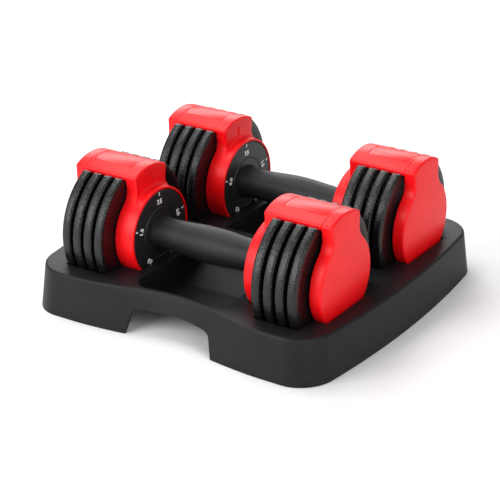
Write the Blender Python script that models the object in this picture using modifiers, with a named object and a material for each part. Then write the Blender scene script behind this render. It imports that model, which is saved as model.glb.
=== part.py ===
"""A pair of twist-handle adjustable dumbbells resting in one moulded tray.

Frame: metres, +Z up, the tray stands on z = 0 and is centred on the origin. Each dumbbell's axis runs
along X. The front dumbbell lies at -Y and the rear one at +Y, turned end for end.

Each head is a red inner housing whose bridge reaches out over four notched plates to a red outer cap.
Twisting the grip turns a cam sleeve. Its two helical slots, one of each hand, drive a pin in each
selector rod, so both rods slide one plate pitch for each weight step.
"""

import math

import bmesh
import bpy
from mathutils import Matrix, Vector

MM = 0.001

# Clearances: between still neighbours, between running ones, and of a slide on its flats
FIT_GAP = 0.3 * MM
RUN_GAP = 0.6 * MM
SLIDE_GAP = 0.35 * MM

# How the two dumbbells stand: clear space between their plates, and under the plates
PLATE_TO_PLATE_SPACE = 18.0 * MM
PLATE_GROUND_CLEARANCE = 5.3 * MM

# Weight steps
PLATES_PER_HEAD = 4
STEP_ANGLE = math.radians(72.0)

# Plates
PLATE_RADIUS = 66.0 * MM
PLATE_THICKNESS = 9.4 * MM
PLATE_SPACING = 3.2 * MM
PLATE_EDGE_CHAMFER = 1.7 * MM
PLATE_SHOULDER_HEIGHT = 2.3 * MM
PLATE_SIDE_CLEARANCE = 1.2 * MM
PLATE_WALL_CLEARANCE = 0.4 * MM
PLATE_NOTCH_CLEARANCE = 0.8 * MM
PLATE_NOTCH_SIDE_CLEARANCE = 2.6 * MM
PLATE_BORE_CLEARANCE = 1.2 * MM

# Red housing: a round lobe below, a waisted neck and a crowned top
LOBE_RADIUS = 44.4 * MM
LOBE_FOOT_ANGLE = -84.0
NECK_HALF_WIDTH = 23.2 * MM
NECK_FILLET = 17.0 * MM
CROWN_RADIUS = 50.0 * MM
CROWN_HALF_WIDTH = 24.6 * MM
CROWN_ABOVE_PLATES = 0.7 * MM
BRIDGE_DEPTH = 10.7 * MM
CAP_THICKNESS = 13.3 * MM
INNER_WALL = 11.5 * MM
RING_DEPTH = 9.2 * MM
RING_RELIEF = 0.4 * MM
CAP_EDGE_BEVEL = 2.6 * MM
TONGUE_LENGTH = 5.0 * MM
TONGUE_HALF_WIDTH = 14.0 * MM
TONGUE_HEIGHT = 5.0 * MM
TONGUE_RAISE = 1.8 * MM

# Inset panel on the crown
PANEL_HALF_WIDTH = 12.0 * MM
PANEL_THICKNESS = 1.6 * MM
PANEL_MARGIN = 2.2 * MM
PANEL_SINK = 0.15 * MM

# Dial
DIAL_RING_RIM = 2.8 * MM
DIAL_BORE_GAP = 0.4 * MM
DIAL_THICKNESS = 5.7 * MM
DIAL_FACE_INSET = 0.5 * MM
DIAL_EDGE_CHAMFER = 0.8 * MM

# Handle, from the rod outwards
ROD_RADIUS = 8.0 * MM
ROD_FLAT_DEPTH = 1.5 * MM
ROD_MIDDLE_SPACE = 2.5 * MM
ROD_TIP_CHAMFER = 1.0 * MM
ROD_TIP_PROUD = 0.4 * MM
PIN_RADIUS = 2.2 * MM
PIN_FROM_ROD_END = 6.1 * MM
PIN_SEAT = 1.4 * MM
HANDLE_END_ROOM = 12.3 * MM
SLEEVE_WALL = 3.0 * MM
SLEEVE_END_INSET = 1.0 * MM
SLOT_SIDE_CLEARANCE = 1.2 * MM
TUBE_WALL = 1.5 * MM
TUBE_INTO_DIAL = 3.3 * MM
GRIP_WALL = 1.5 * MM
GRIP_MIDDLE_SWELL = 2.4 * MM
GRIP_COLLAR_FLARE = 2.0 * MM
GRIP_BARREL_REACH = 0.80
BUSH_WALL = 3.4 * MM
BUSH_END_INSET = 0.4 * MM

# Tray
TRAY_HEIGHT = 44.3 * MM
TRAY_END_RIM = 26.5 * MM
TRAY_SIDE_RIM = 19.4 * MM
TRAY_END_BOW = 13.0 * MM
TRAY_CORNER_RADIUS = 31.0 * MM
TRAY_DRAFT = 4.0 * MM
TRAY_EDGE_FILLET = 3.0 * MM
TRAY_WALL = 3.0 * MM
WAIST_DEPTH_TOP = 16.5 * MM
WAIST_DEPTH_FOOT = 9.0 * MM
WAIST_HALF_WIDTH = 118.0 * MM
PLATE_POCKET_GAP = 1.0 * MM
PLATE_SLOT_GAP = 0.45 * MM
SLOT_BELOW_TROUGH = 0.2 * MM
DIVIDER_TOP = 24.0 * MM
CRADLE_GAP = 1.0 * MM
WELL_END_RIM = 12.2 * MM
WELL_FLOOR = 13.0 * MM
WELL_FLOOR_OFFSET = 17.0 * MM
WELL_FLOOR_RISE = 5.0 * MM
WELL_FRONT_FLOOR = 30.5 * MM
WELL_FRONT_LEDGE = 30.0 * MM
WELL_RIM = 5.0 * MM
WELL_CORNER_RADIUS = 15.0 * MM
WELL_BACK_LEAN = 4.0 * MM
WELL_BEND_REACH = 0.68
WELL_BEND_RISE = 0.4
WELL_BACK_RISE = 0.72
MIDDLE_STRIP_HALF_WIDTH = 17.0 * MM
NOTCH_HALF_WIDTH = 44.0 * MM
NOTCH_FLARE = 5.0 * MM
NOTCH_HEIGHT = 26.5 * MM
NOTCH_ARCH_RISE = 3.0 * MM
NOTCH_CORNER_RADIUS = 6.0 * MM

# Facets of round pieces
PLATE_STEPS = 24
DIAL_STEPS = 28
POCKET_STEPS = 36
UNDERSIDE_STEPS = 20
HANDLE_STEPS = 20
ROD_STEPS = 24
PIN_STEPS = 12

# Travel of the moving pieces
PLATE_PITCH = PLATE_THICKNESS + PLATE_SPACING
TWIST_RANGE = PLATES_PER_HEAD * STEP_ANGLE
ROD_TRAVEL = PLATES_PER_HEAD * PLATE_PITCH

# Places along the axis of a head that points to +X, from the handle's end outwards.
# The handle is as long as both rods need to draw back inside it.
DIAL_FACE_X = ROD_TRAVEL + HANDLE_END_ROOM
DIAL_BACK_X = DIAL_FACE_X + DIAL_THICKNESS
RING_FACE_X = DIAL_FACE_X - DIAL_FACE_INSET
WALL_INNER_X = RING_FACE_X + RING_DEPTH
WALL_OUTER_X = WALL_INNER_X + INNER_WALL
FIRST_PLATE_X = WALL_OUTER_X + PLATE_WALL_CLEARANCE
STACK_LENGTH = (PLATES_PER_HEAD - 1) * PLATE_PITCH + PLATE_THICKNESS
LAST_PLATE_END_X = FIRST_PLATE_X + STACK_LENGTH
CAP_INNER_X = LAST_PLATE_END_X + PLATE_SIDE_CLEARANCE
BRIDGE_END_X = CAP_INNER_X - FIT_GAP
HEAD_END_X = CAP_INNER_X + CAP_THICKNESS
ROD_TIP_X = LAST_PLATE_END_X + ROD_TIP_PROUD
ROD_END_X = ROD_TRAVEL + ROD_MIDDLE_SPACE
PIN_X = ROD_END_X + PIN_FROM_ROD_END
TUBE_HALF_LENGTH = DIAL_FACE_X + TUBE_INTO_DIAL
SLEEVE_HALF_LENGTH = TUBE_HALF_LENGTH - SLEEVE_END_INSET

# Heights of a head above its axis, and where the axes stand
CROWN_APEX = PLATE_RADIUS + CROWN_ABOVE_PLATES
BRIDGE_UNDERSIDE = CROWN_APEX - BRIDGE_DEPTH
PLATE_TOP_FLAT = BRIDGE_UNDERSIDE + PLATE_SHOULDER_HEIGHT
AXIS_SPACING = 2 * PLATE_RADIUS + PLATE_TO_PLATE_SPACE
AXIS_HEIGHT = PLATE_RADIUS + PLATE_GROUND_CLEARANCE

# Radii that follow from the rod outwards
SLEEVE_BORE = ROD_RADIUS + RUN_GAP
SLEEVE_RADIUS = SLEEVE_BORE + SLEEVE_WALL
TUBE_BORE = SLEEVE_RADIUS + FIT_GAP
TUBE_RADIUS = TUBE_BORE + TUBE_WALL
GRIP_BORE = TUBE_RADIUS + FIT_GAP
PIN_TIP_RADIUS = SLEEVE_RADIUS - FIT_GAP
SLOT_TUBE_RADIUS = PIN_RADIUS + SLOT_SIDE_CLEARANCE
ROD_FLAT_OFFSET = ROD_RADIUS - ROD_FLAT_DEPTH
BUSH_BORE = ROD_RADIUS + SLIDE_GAP
BUSH_FLAT_OFFSET = ROD_FLAT_OFFSET + SLIDE_GAP
BUSH_RADIUS = BUSH_BORE + BUSH_WALL
GRIP_WAIST_RADIUS = GRIP_BORE + GRIP_WALL
GRIP_MIDDLE_RADIUS = GRIP_WAIST_RADIUS + GRIP_MIDDLE_SWELL
GRIP_COLLAR_RADIUS = GRIP_WAIST_RADIUS + GRIP_COLLAR_FLARE
DIAL_RADIUS = LOBE_RADIUS - DIAL_RING_RIM
DIAL_BORE = TUBE_RADIUS + DIAL_BORE_GAP
DIAL_POCKET_RADIUS = DIAL_RADIUS + RUN_GAP

# The tray's reach, from the dumbbells it carries
TRAY_HALF_X = HEAD_END_X + TRAY_END_RIM
TRAY_HALF_Y = AXIS_SPACING / 2 + PLATE_RADIUS + TRAY_SIDE_RIM
WELL_HALF_WIDTH = RING_FACE_X - WELL_END_RIM

# How far a cutter runs past what it cuts, and the least distance that matters
OVER = 20.0 * MM
TINY = 0.01 * MM


def clear_scene():
    for obj in list(bpy.data.objects):
        bpy.data.objects.remove(obj, do_unlink=True)


def new_collection(name, hidden=False):
    collection = bpy.data.collections.new(name)
    collection.hide_render = hidden
    bpy.context.scene.collection.children.link(collection)
    return collection


def material(name, colour, roughness, metallic=0.0):
    made = bpy.data.materials.new(name)
    made.use_nodes = True
    shader = made.node_tree.nodes["Principled BSDF"]
    shader.inputs["Base Color"].default_value = (*colour, 1.0)
    shader.inputs["Roughness"].default_value = roughness
    shader.inputs["Metallic"].default_value = metallic
    made.diffuse_color = (*colour, 1.0)
    return made


# --- Mesh helpers -----------------------------------------------------------------------------------


def link_mesh(name, mesh, collection):
    obj = bpy.data.objects.new(name, mesh)
    collection.objects.link(obj)
    return obj


def baked(obj):
    """Replaces an object's mesh with its evaluated one, so that copies can share the result."""
    graph = bpy.context.evaluated_depsgraph_get()
    mesh = bpy.data.meshes.new_from_object(obj.evaluated_get(graph))
    mesh.name = obj.name
    obj.modifiers.clear()
    obj.data = mesh
    return obj


def turned(name, profile, steps, collection):
    """A closed profile of (along, radius) points turned about the X axis.

    The profile runs along +X on its outer side and comes back on its inner side.
    """
    mesh = bpy.data.meshes.new(name)
    points = [(radius, 0.0, -along) for along, radius in profile]
    count = len(points)
    edges = [(i, (i + 1) % count) for i in range(count)]
    mesh.from_pydata(points, edges, [])
    obj = link_mesh(name, mesh, collection)
    screw = obj.modifiers.new("turn", "SCREW")
    screw.axis = "Z"
    screw.steps = steps
    screw.render_steps = steps
    screw.use_merge_vertices = True
    screw.merge_threshold = TINY
    screw.use_smooth_shade = False
    baked(obj)
    obj.data.transform(Matrix.Rotation(math.radians(-90.0), 4, "Y"))
    return obj


def rod_x(name, radius, start, stop, steps, collection, tip_chamfer=0.0):
    """A solid cylinder along X, with an optional chamfer at its far end."""
    bm = bmesh.new()
    bmesh.ops.create_cone(
        bm, cap_ends=True, segments=steps, radius1=radius, radius2=radius, depth=stop - start
    )
    if tip_chamfer:
        top_edges = [e for e in bm.edges if all(v.co.z > 0 for v in e.verts)]
        bmesh.ops.bevel(bm, geom=top_edges, offset=tip_chamfer, segments=1, affect="EDGES")
    bm.transform(Matrix.Rotation(math.radians(90.0), 4, "Y"))
    bm.transform(Matrix.Translation(((start + stop) / 2, 0, 0)))
    mesh = bpy.data.meshes.new(name)
    bm.to_mesh(mesh)
    bm.free()
    return link_mesh(name, mesh, collection)


def box(name, low, high, collection):
    bm = bmesh.new()
    bmesh.ops.create_cube(bm, size=1.0)
    size = [b - a for a, b in zip(low, high)]
    centre = [(a + b) / 2 for a, b in zip(low, high)]
    bm.transform(Matrix.Translation(centre) @ Matrix.Diagonal((*size, 1.0)))
    mesh = bpy.data.meshes.new(name)
    bm.to_mesh(mesh)
    bm.free()
    return link_mesh(name, mesh, collection)


# Columns give the world directions of an outline's own x, y and thickness.
PLANE_TURNS = {
    "X": Matrix(((0, 0, 1), (1, 0, 0), (0, 1, 0))),
    "Y": Matrix(((1, 0, 0), (0, 0, -1), (0, 1, 0))),
    "Z": Matrix.Identity(3),
}


def prism(name, outline, axis, start, stop, collection):
    """A filled outline extruded along X, Y or Z: (y, z), (x, z) or (x, y) points."""
    curve = bpy.data.curves.new(name, "CURVE")
    curve.dimensions = "2D"
    curve.fill_mode = "BOTH"
    curve.extrude = (stop - start) / 2
    spline = curve.splines.new("POLY")
    spline.points.add(len(outline) - 1)
    for point, (u, v) in zip(spline.points, outline):
        point.co = (u, v, 0.0, 1.0)
    spline.use_cyclic_u = True
    drawn = bpy.data.objects.new(name + "_outline", curve)
    collection.objects.link(drawn)
    graph = bpy.context.evaluated_depsgraph_get()
    mesh = bpy.data.meshes.new_from_object(drawn.evaluated_get(graph))
    bpy.data.objects.remove(drawn, do_unlink=True)
    bpy.data.curves.remove(curve)
    bm = bmesh.new()
    bm.from_mesh(mesh)
    bmesh.ops.remove_doubles(bm, verts=bm.verts, dist=TINY)
    bmesh.ops.dissolve_limit(
        bm, angle_limit=math.radians(0.5), verts=bm.verts, edges=bm.edges, delimit={"NORMAL"}
    )
    middle = (start + stop) / 2
    shift = {"X": (middle, 0, 0), "Y": (0, middle, 0), "Z": (0, 0, middle)}[axis]
    bm.transform(Matrix.Translation(shift) @ PLANE_TURNS[axis].to_4x4())
    face_outwards(bm)
    bm.to_mesh(mesh)
    bm.free()
    mesh.name = name
    return link_mesh(name, mesh, collection)


def face_outwards(bm):
    bmesh.ops.recalc_face_normals(bm, faces=bm.faces)
    if bm.calc_volume(signed=True) < 0:
        bmesh.ops.reverse_faces(bm, faces=bm.faces)


def loft(name, sections, collection):
    """A closed body through matching loops of points, each with its own height."""
    bm = bmesh.new()
    rings = []
    for height, loop in sections:
        rings.append([bm.verts.new((x, y, height)) for x, y in loop])
    count = len(rings[0])
    for low, high in zip(rings, rings[1:]):
        for i in range(count):
            j = (i + 1) % count
            bm.faces.new((low[i], low[j], high[j], high[i]))
    bm.faces.new(list(reversed(rings[0])))
    bm.faces.new(rings[-1])
    face_outwards(bm)
    mesh = bpy.data.meshes.new(name)
    bm.to_mesh(mesh)
    bm.free()
    return link_mesh(name, mesh, collection)


def boolean(obj, cutter, operation="DIFFERENCE"):
    modifier = obj.modifiers.new(operation.lower(), "BOOLEAN")
    modifier.operation = operation
    modifier.solver = "EXACT"
    modifier.object = cutter
    cutter.hide_render = True
    cutter.display_type = "WIRE"
    return obj


def bevelled_edges(obj, width, segments, chosen):
    """Rounds the edges whose two ends both pass the test."""
    bm = bmesh.new()
    bm.from_mesh(obj.data)
    picked = [e for e in bm.edges if all(chosen(v.co) for v in e.verts)]
    bmesh.ops.bevel(
        bm, geom=picked, offset=width, segments=segments, profile=0.5, affect="EDGES", clamp_overlap=True
    )
    bm.to_mesh(obj.data)
    bm.free()
    return obj


def arc(centre, radius, start, stop, steps):
    """Points of a circular arc, angles in degrees, both ends included."""
    angles = [math.radians(start + (stop - start) * i / steps) for i in range(steps + 1)]
    return [(centre[0] + radius * math.cos(a), centre[1] + radius * math.sin(a)) for a in angles]


def mirrored(right_side):
    """An outline from its right half, listed bottom to top, and the same half mirrored back down."""
    return right_side + [(-y, z) for y, z in reversed(right_side)]


# --- Outlines ---------------------------------------------------------------------------------------


def housing_outline():
    """The red wall seen along the axis: lobe, concave neck fillets and crowned top, as (y, z) points."""
    fillet_y = NECK_HALF_WIDTH + NECK_FILLET
    fillet_z = math.sqrt((LOBE_RADIUS + NECK_FILLET) ** 2 - fillet_y**2)
    meet = math.degrees(math.atan2(fillet_z, fillet_y))
    crown_centre = CROWN_APEX - CROWN_RADIUS
    corner = math.degrees(math.acos(CROWN_HALF_WIDTH / CROWN_RADIUS))
    right = arc((0, 0), LOBE_RADIUS, LOBE_FOOT_ANGLE, meet, 10)
    right += arc((fillet_y, fillet_z), NECK_FILLET, 180.0 + meet, 180.0, 4)[1:]
    right += arc((0, crown_centre), CROWN_RADIUS, corner, 90.0, 4)[:-1]
    return right + [(0, CROWN_APEX)] + [(-y, z) for y, z in reversed(right)]


def panel_outline(margin):
    """A band that follows the crown, as (y, z) points, grown by the margin on all sides."""
    centre = (0, CROWN_APEX - CROWN_RADIUS)
    half_angle = math.degrees(math.asin((PANEL_HALF_WIDTH + margin) / CROWN_RADIUS))
    outer = CROWN_RADIUS - PANEL_SINK + (OVER if margin else 0.0)
    inner = CROWN_RADIUS - PANEL_THICKNESS - margin
    top = arc(centre, outer, 90.0 - half_angle, 90.0 + half_angle, 6)
    return top + arc(centre, inner, 90.0 + half_angle, 90.0 - half_angle, 6)


def tray_outline(inset, draft_share):
    """The tray seen from above: a rounded rectangle with bowed ends and a waist at front and back."""
    half_x = TRAY_HALF_X - TRAY_DRAFT * draft_share - inset
    half_y = TRAY_HALF_Y - TRAY_DRAFT * draft_share - inset
    radius = TRAY_CORNER_RADIUS - inset
    depth = WAIST_DEPTH_FOOT + (WAIST_DEPTH_TOP - WAIST_DEPTH_FOOT) * draft_share
    flat_x = half_x - radius
    flat_y = half_y - radius
    quarter = arc((flat_x, flat_y), radius, 0.0, 90.0, 5)
    points = [(half_x, -flat_y / 3), (half_x, flat_y / 3)]
    points += quarter
    points += [(flat_x * t / 6, half_y) for t in range(5, -6, -1)]
    points += [(-x, y) for x, y in reversed(quarter)]
    points += [(-half_x, flat_y / 3), (-half_x, -flat_y / 3)]
    points += [(-x, -y) for x, y in quarter]
    points += [(flat_x * t / 6, -half_y) for t in range(-5, 6)]
    points += [(x, -y) for x, y in reversed(quarter)]
    return [bowed(x, y, half_x, half_y, depth) for x, y in points]


def bowed(x, y, half_x, half_y, depth):
    pull_x = TRAY_END_BOW * (y / half_y) ** 2 * x / half_x
    return x - pull_x, y - waist(x, depth) * y / half_y


def waist(x, depth):
    """How far the front and back edges are drawn in at this place along them."""
    if abs(x) >= WAIST_HALF_WIDTH:
        return 0.0
    return depth * math.cos(math.pi * x / (2 * WAIST_HALF_WIDTH)) ** 2


# --- Head pieces, for the head that points to +X, about the dumbbell's axis -------------------------


def inner_housing(cutters, parts):
    obj = prism("inner_housing", housing_outline(), "X", RING_FACE_X, BRIDGE_END_X, parts)
    under = box(
        "cut_under_bridge",
        (WALL_OUTER_X, -OVER - LOBE_RADIUS, -OVER - LOBE_RADIUS),
        (BRIDGE_END_X + OVER, OVER + LOBE_RADIUS, BRIDGE_UNDERSIDE),
        cutters,
    )
    boolean(obj, under)
    ring = turned(
        "cut_round_ring",
        [
            (RING_FACE_X - OVER, CROWN_APEX + OVER),
            (WALL_INNER_X, CROWN_APEX + OVER),
            (WALL_INNER_X, LOBE_RADIUS + RING_RELIEF),
            (RING_FACE_X - OVER, LOBE_RADIUS + RING_RELIEF),
        ],
        POCKET_STEPS,
        cutters,
    )
    boolean(obj, ring)
    pocket_back = DIAL_BACK_X + RUN_GAP
    front = RING_FACE_X - OVER
    boolean(obj, rod_x("cut_dial", DIAL_POCKET_RADIUS, front, pocket_back, POCKET_STEPS, cutters))
    bush_hole = BUSH_RADIUS + FIT_GAP
    boolean(obj, rod_x("cut_bush", bush_hole, RING_FACE_X, WALL_OUTER_X + OVER, ROD_STEPS, cutters))
    recess = prism(
        "cut_panel",
        panel_outline(FIT_GAP),
        "X",
        WALL_OUTER_X + PANEL_MARGIN - FIT_GAP,
        BRIDGE_END_X - PANEL_MARGIN + FIT_GAP,
        cutters,
    )
    boolean(obj, recess)
    low, high = tongue_box(0.0)
    boolean(obj, box("add_tongue", low, high, cutters), "UNION")
    return baked(obj)


def tongue_box(margin):
    """The tongue that keys the bridge into the outer cap, grown by the margin for its pocket."""
    base = BRIDGE_UNDERSIDE + TONGUE_RAISE
    low = (BRIDGE_END_X - TONGUE_LENGTH, -TONGUE_HALF_WIDTH - margin, base - margin)
    high = (BRIDGE_END_X + TONGUE_LENGTH + margin, TONGUE_HALF_WIDTH + margin, base + TONGUE_HEIGHT + margin)
    return low, high


def outer_cap(cutters, parts):
    obj = prism("outer_cap", housing_outline(), "X", CAP_INNER_X, HEAD_END_X, parts)
    outer_face = HEAD_END_X - TINY
    bevelled_edges(obj, CAP_EDGE_BEVEL, 2, lambda point: point.x > outer_face)
    low, high = tongue_box(FIT_GAP)
    boolean(obj, box("cut_tongue", low, high, cutters))
    return baked(obj)


def top_panel(parts):
    start = WALL_OUTER_X + PANEL_MARGIN
    return prism("top_panel", panel_outline(0.0), "X", start, BRIDGE_END_X - PANEL_MARGIN, parts)


def rod_bush(cutters, parts):
    start = DIAL_BACK_X + RUN_GAP + BUSH_END_INSET
    stop = WALL_OUTER_X - BUSH_END_INSET
    obj = rod_x("rod_bush", BUSH_RADIUS, start, stop, ROD_STEPS, parts)
    bore = flatted_rod("cut_rod", BUSH_BORE, BUSH_FLAT_OFFSET, start - OVER, stop + OVER, cutters, cutters)
    boolean(obj, bore)
    return baked(obj)


def flatted_rod(name, radius, flat, start, stop, collection, cutters, tip_chamfer=0.0):
    """A round bar with a flat on each side, which keeps it from turning in its bush."""
    obj = rod_x(name, radius, start, stop, ROD_STEPS, collection, tip_chamfer)
    middle = box(
        "keep_" + name, (start - OVER, -flat, -2 * radius), (stop + OVER, flat, 2 * radius), cutters
    )
    boolean(obj, middle, "INTERSECT")
    return baked(obj)


def selector_rod(cutters, parts):
    obj = flatted_rod(
        "selector_rod", ROD_RADIUS, ROD_FLAT_OFFSET, ROD_END_X, ROD_TIP_X, parts, cutters, ROD_TIP_CHAMFER
    )
    seat = rod_x("cut_pin", PIN_RADIUS + FIT_GAP, -ROD_RADIUS - OVER, -PIN_SEAT + FIT_GAP, PIN_STEPS, cutters)
    seat.data.transform(Matrix.Translation((PIN_X, 0, 0)) @ Matrix.Rotation(math.radians(90.0), 4, "Y"))
    boolean(obj, seat)
    return baked(obj)


def follower_pin(parts):
    obj = rod_x("follower_pin", PIN_RADIUS, -PIN_TIP_RADIUS, -PIN_SEAT, PIN_STEPS, parts)
    obj.data.transform(Matrix.Translation((PIN_X, 0, 0)) @ Matrix.Rotation(math.radians(90.0), 4, "Y"))
    return obj


def plate(cutters, parts):
    """One weight plate, with a bore for the rod and a notch at its top for the bridge."""
    bore = ROD_RADIUS + PLATE_BORE_CLEARANCE
    profile = [
        (0.0, PLATE_RADIUS - PLATE_EDGE_CHAMFER),
        (PLATE_EDGE_CHAMFER, PLATE_RADIUS),
        (PLATE_THICKNESS - PLATE_EDGE_CHAMFER, PLATE_RADIUS),
        (PLATE_THICKNESS, PLATE_RADIUS - PLATE_EDGE_CHAMFER),
        (PLATE_THICKNESS, bore),
        (0.0, bore),
    ]
    obj = turned("plate", profile, PLATE_STEPS, parts)
    half_notch = CROWN_HALF_WIDTH + PLATE_NOTCH_SIDE_CLEARANCE
    notch_floor = BRIDGE_UNDERSIDE - PLATE_NOTCH_CLEARANCE
    reach = PLATE_RADIUS + OVER
    boolean(obj, box("cut_flat", (-OVER, -reach, PLATE_TOP_FLAT), (OVER, reach, reach), cutters))
    boolean(obj, box("cut_notch", (-OVER, -half_notch, notch_floor), (OVER, half_notch, reach), cutters))
    return baked(obj)


def dial(parts):
    """The weight dial: a disc with a chamfered rim, clamped on the handle tube."""
    profile = [
        (DIAL_FACE_X, DIAL_RADIUS - DIAL_EDGE_CHAMFER),
        (DIAL_FACE_X + DIAL_EDGE_CHAMFER, DIAL_RADIUS),
        (DIAL_BACK_X, DIAL_RADIUS),
        (DIAL_BACK_X, DIAL_BORE),
        (DIAL_FACE_X, DIAL_BORE),
    ]
    return turned("dial", profile, DIAL_STEPS, parts)


# --- Handle pieces ----------------------------------------------------------------------------------


def cam_sleeve(cutters, parts):
    """A tube with two helical slots of opposite hand, one for each rod's follower pin."""
    profile = [
        (-SLEEVE_HALF_LENGTH, SLEEVE_RADIUS),
        (SLEEVE_HALF_LENGTH, SLEEVE_RADIUS),
        (SLEEVE_HALF_LENGTH, SLEEVE_BORE),
        (-SLEEVE_HALF_LENGTH, SLEEVE_BORE),
    ]
    obj = turned("cam_sleeve", profile, HANDLE_STEPS, parts)
    for side in (1, -1):
        boolean(obj, helix_cutter(side, cutters))
    return baked(obj)


def helix_cutter(side, cutters):
    """A bent round bar along the path that a follower pin takes in the turning sleeve."""
    steps = 16
    radius = (SLEEVE_BORE + SLEEVE_RADIUS) / 2
    lead = ROD_TRAVEL / TWIST_RANGE
    end_room = SLOT_TUBE_RADIUS / math.hypot(radius, lead)
    points = []
    for i in range(steps + 1):
        turn = -end_room + (TWIST_RANGE + 2 * end_room) * i / steps
        x = side * (PIN_X - lead * turn)
        angle = math.pi / 2 - turn
        points.append((x, radius * math.cos(angle), radius * math.sin(angle)))
    curve = bpy.data.curves.new("slot_path", "CURVE")
    curve.dimensions = "3D"
    curve.bevel_depth = SLOT_TUBE_RADIUS
    curve.bevel_resolution = 1
    curve.use_fill_caps = True
    spline = curve.splines.new("POLY")
    spline.points.add(len(points) - 1)
    for point, place in zip(spline.points, points):
        point.co = (*place, 1.0)
    drawn = bpy.data.objects.new("slot_path", curve)
    cutters.objects.link(drawn)
    graph = bpy.context.evaluated_depsgraph_get()
    mesh = bpy.data.meshes.new_from_object(drawn.evaluated_get(graph))
    bpy.data.objects.remove(drawn, do_unlink=True)
    bm = bmesh.new()
    bm.from_mesh(mesh)
    bmesh.ops.remove_doubles(bm, verts=bm.verts, dist=TINY)
    face_outwards(bm)
    bm.to_mesh(mesh)
    bm.free()
    return link_mesh("cut_slot", mesh, cutters)


def handle_tube(parts):
    profile = [
        (-TUBE_HALF_LENGTH, TUBE_RADIUS),
        (TUBE_HALF_LENGTH, TUBE_RADIUS),
        (TUBE_HALF_LENGTH, TUBE_BORE),
        (-TUBE_HALF_LENGTH, TUBE_BORE),
    ]
    return turned("handle_tube", profile, HANDLE_STEPS, parts)


def grip_radius(share):
    """The grip's radius from its middle (0) to its end (1): a barrel, a waist and a flared collar."""
    if share < GRIP_BARREL_REACH:
        swell = math.cos(math.pi / 2 * share / GRIP_BARREL_REACH) ** 2
        return GRIP_WAIST_RADIUS + (GRIP_MIDDLE_RADIUS - GRIP_WAIST_RADIUS) * swell
    flare = (share - GRIP_BARREL_REACH) / (1 - GRIP_BARREL_REACH)
    return GRIP_WAIST_RADIUS + (GRIP_COLLAR_RADIUS - GRIP_WAIST_RADIUS) * flare**2


def grip_sleeve(parts):
    half = DIAL_FACE_X - FIT_GAP
    shares = [i / 6 for i in range(-6, 7)]
    outer = [(half * share, grip_radius(abs(share))) for share in shares]
    profile = outer + [(half, GRIP_BORE), (-half, GRIP_BORE)]
    return turned("grip_sleeve", profile, HANDLE_STEPS, parts)


# --- Tray -------------------------------------------------------------------------------------------


def head_cutter(name, gap, cutters):
    """What one head takes out of the tray: plate slots, the trough above them and two wall cradles."""
    cradle = LOBE_RADIUS + CRADLE_GAP + gap
    trough = PLATE_RADIUS + PLATE_POCKET_GAP + gap
    start = RING_FACE_X - CRADLE_GAP - gap
    stop = HEAD_END_X + CRADLE_GAP + gap
    steps = UNDERSIDE_STEPS if gap else POCKET_STEPS
    obj = rod_x(name, cradle, start, stop, steps, cutters)
    trough_start = WALL_OUTER_X - FIT_GAP - gap
    trough_stop = CAP_INNER_X - FIT_GAP + gap
    if gap:
        boolean(obj, rod_x(name + "_trough", trough, trough_start, trough_stop, steps, cutters), "UNION")
        return baked(obj)
    floor = DIVIDER_TOP - AXIS_HEIGHT
    foot = math.degrees(math.asin(floor / trough))
    outline = arc((0, 0), trough, foot, 180.0 - foot, POCKET_STEPS // 2)
    boolean(obj, prism(name + "_trough", outline, "X", trough_start, trough_stop, cutters), "UNION")
    for index in range(PLATES_PER_HEAD):
        x = FIRST_PLATE_X + index * PLATE_PITCH
        low = x - PLATE_SLOT_GAP
        high = x + PLATE_THICKNESS + PLATE_SLOT_GAP
        slot = rod_x(f"{name}_slot_{index}", trough + SLOT_BELOW_TROUGH, low, high, steps, cutters)
        boolean(obj, slot, "UNION")
    return baked(obj)


def well_cutter(name, gap, cutters):
    """The finger well under a handle: a scoop with a steep back, a low middle and a rising front."""
    axis_y = -AXIS_SPACING / 2
    low_y = axis_y + WELL_FLOOR_OFFSET
    back_y = -MIDDLE_STRIP_HALF_WIDTH + gap
    front_y = -TRAY_HALF_Y
    rise = TRAY_HEIGHT - WELL_FLOOR
    scoop = [
        (front_y, TRAY_HEIGHT + OVER),
        (front_y, WELL_FRONT_FLOOR - gap),
        (front_y + WELL_FRONT_LEDGE, WELL_FRONT_FLOOR - gap),
        (axis_y - WELL_FLOOR_OFFSET, WELL_FLOOR + WELL_FLOOR_RISE - gap),
        (low_y, WELL_FLOOR - gap),
        (low_y + WELL_BEND_REACH * (back_y - low_y), WELL_FLOOR + WELL_BEND_RISE * rise - gap),
        (back_y - WELL_BACK_LEAN, WELL_FLOOR + WELL_BACK_RISE * rise - gap),
        (back_y, TRAY_HEIGHT),
        (back_y, TRAY_HEIGHT + OVER),
    ]
    half = WELL_HALF_WIDTH + gap
    obj = prism(name, scoop, "X", -half, half, cutters)
    radius = WELL_CORNER_RADIUS + gap
    edge = TRAY_HALF_Y - TRAY_DRAFT - WELL_RIM + gap
    front = []
    for i in range(-3, 4):
        x = (half - radius) * i / 3
        front.append((x, -edge + waist(x, WAIST_DEPTH_TOP)))
    end_y = front[0][1]
    corner_right = arc((half - radius, end_y + radius), radius, -90.0, 0.0, 4)[1:]
    corner_left = arc((radius - half, end_y + radius), radius, 180.0, 270.0, 4)[:-1]
    plan = corner_left + front + corner_right
    wide = half + OVER
    plan += [(half, back_y + OVER), (-half, back_y + OVER)]
    plan_body = prism(name + "_plan", plan, "Z", -wide, wide, cutters)
    boolean(obj, plan_body, "INTERSECT")
    return baked(obj)


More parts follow.
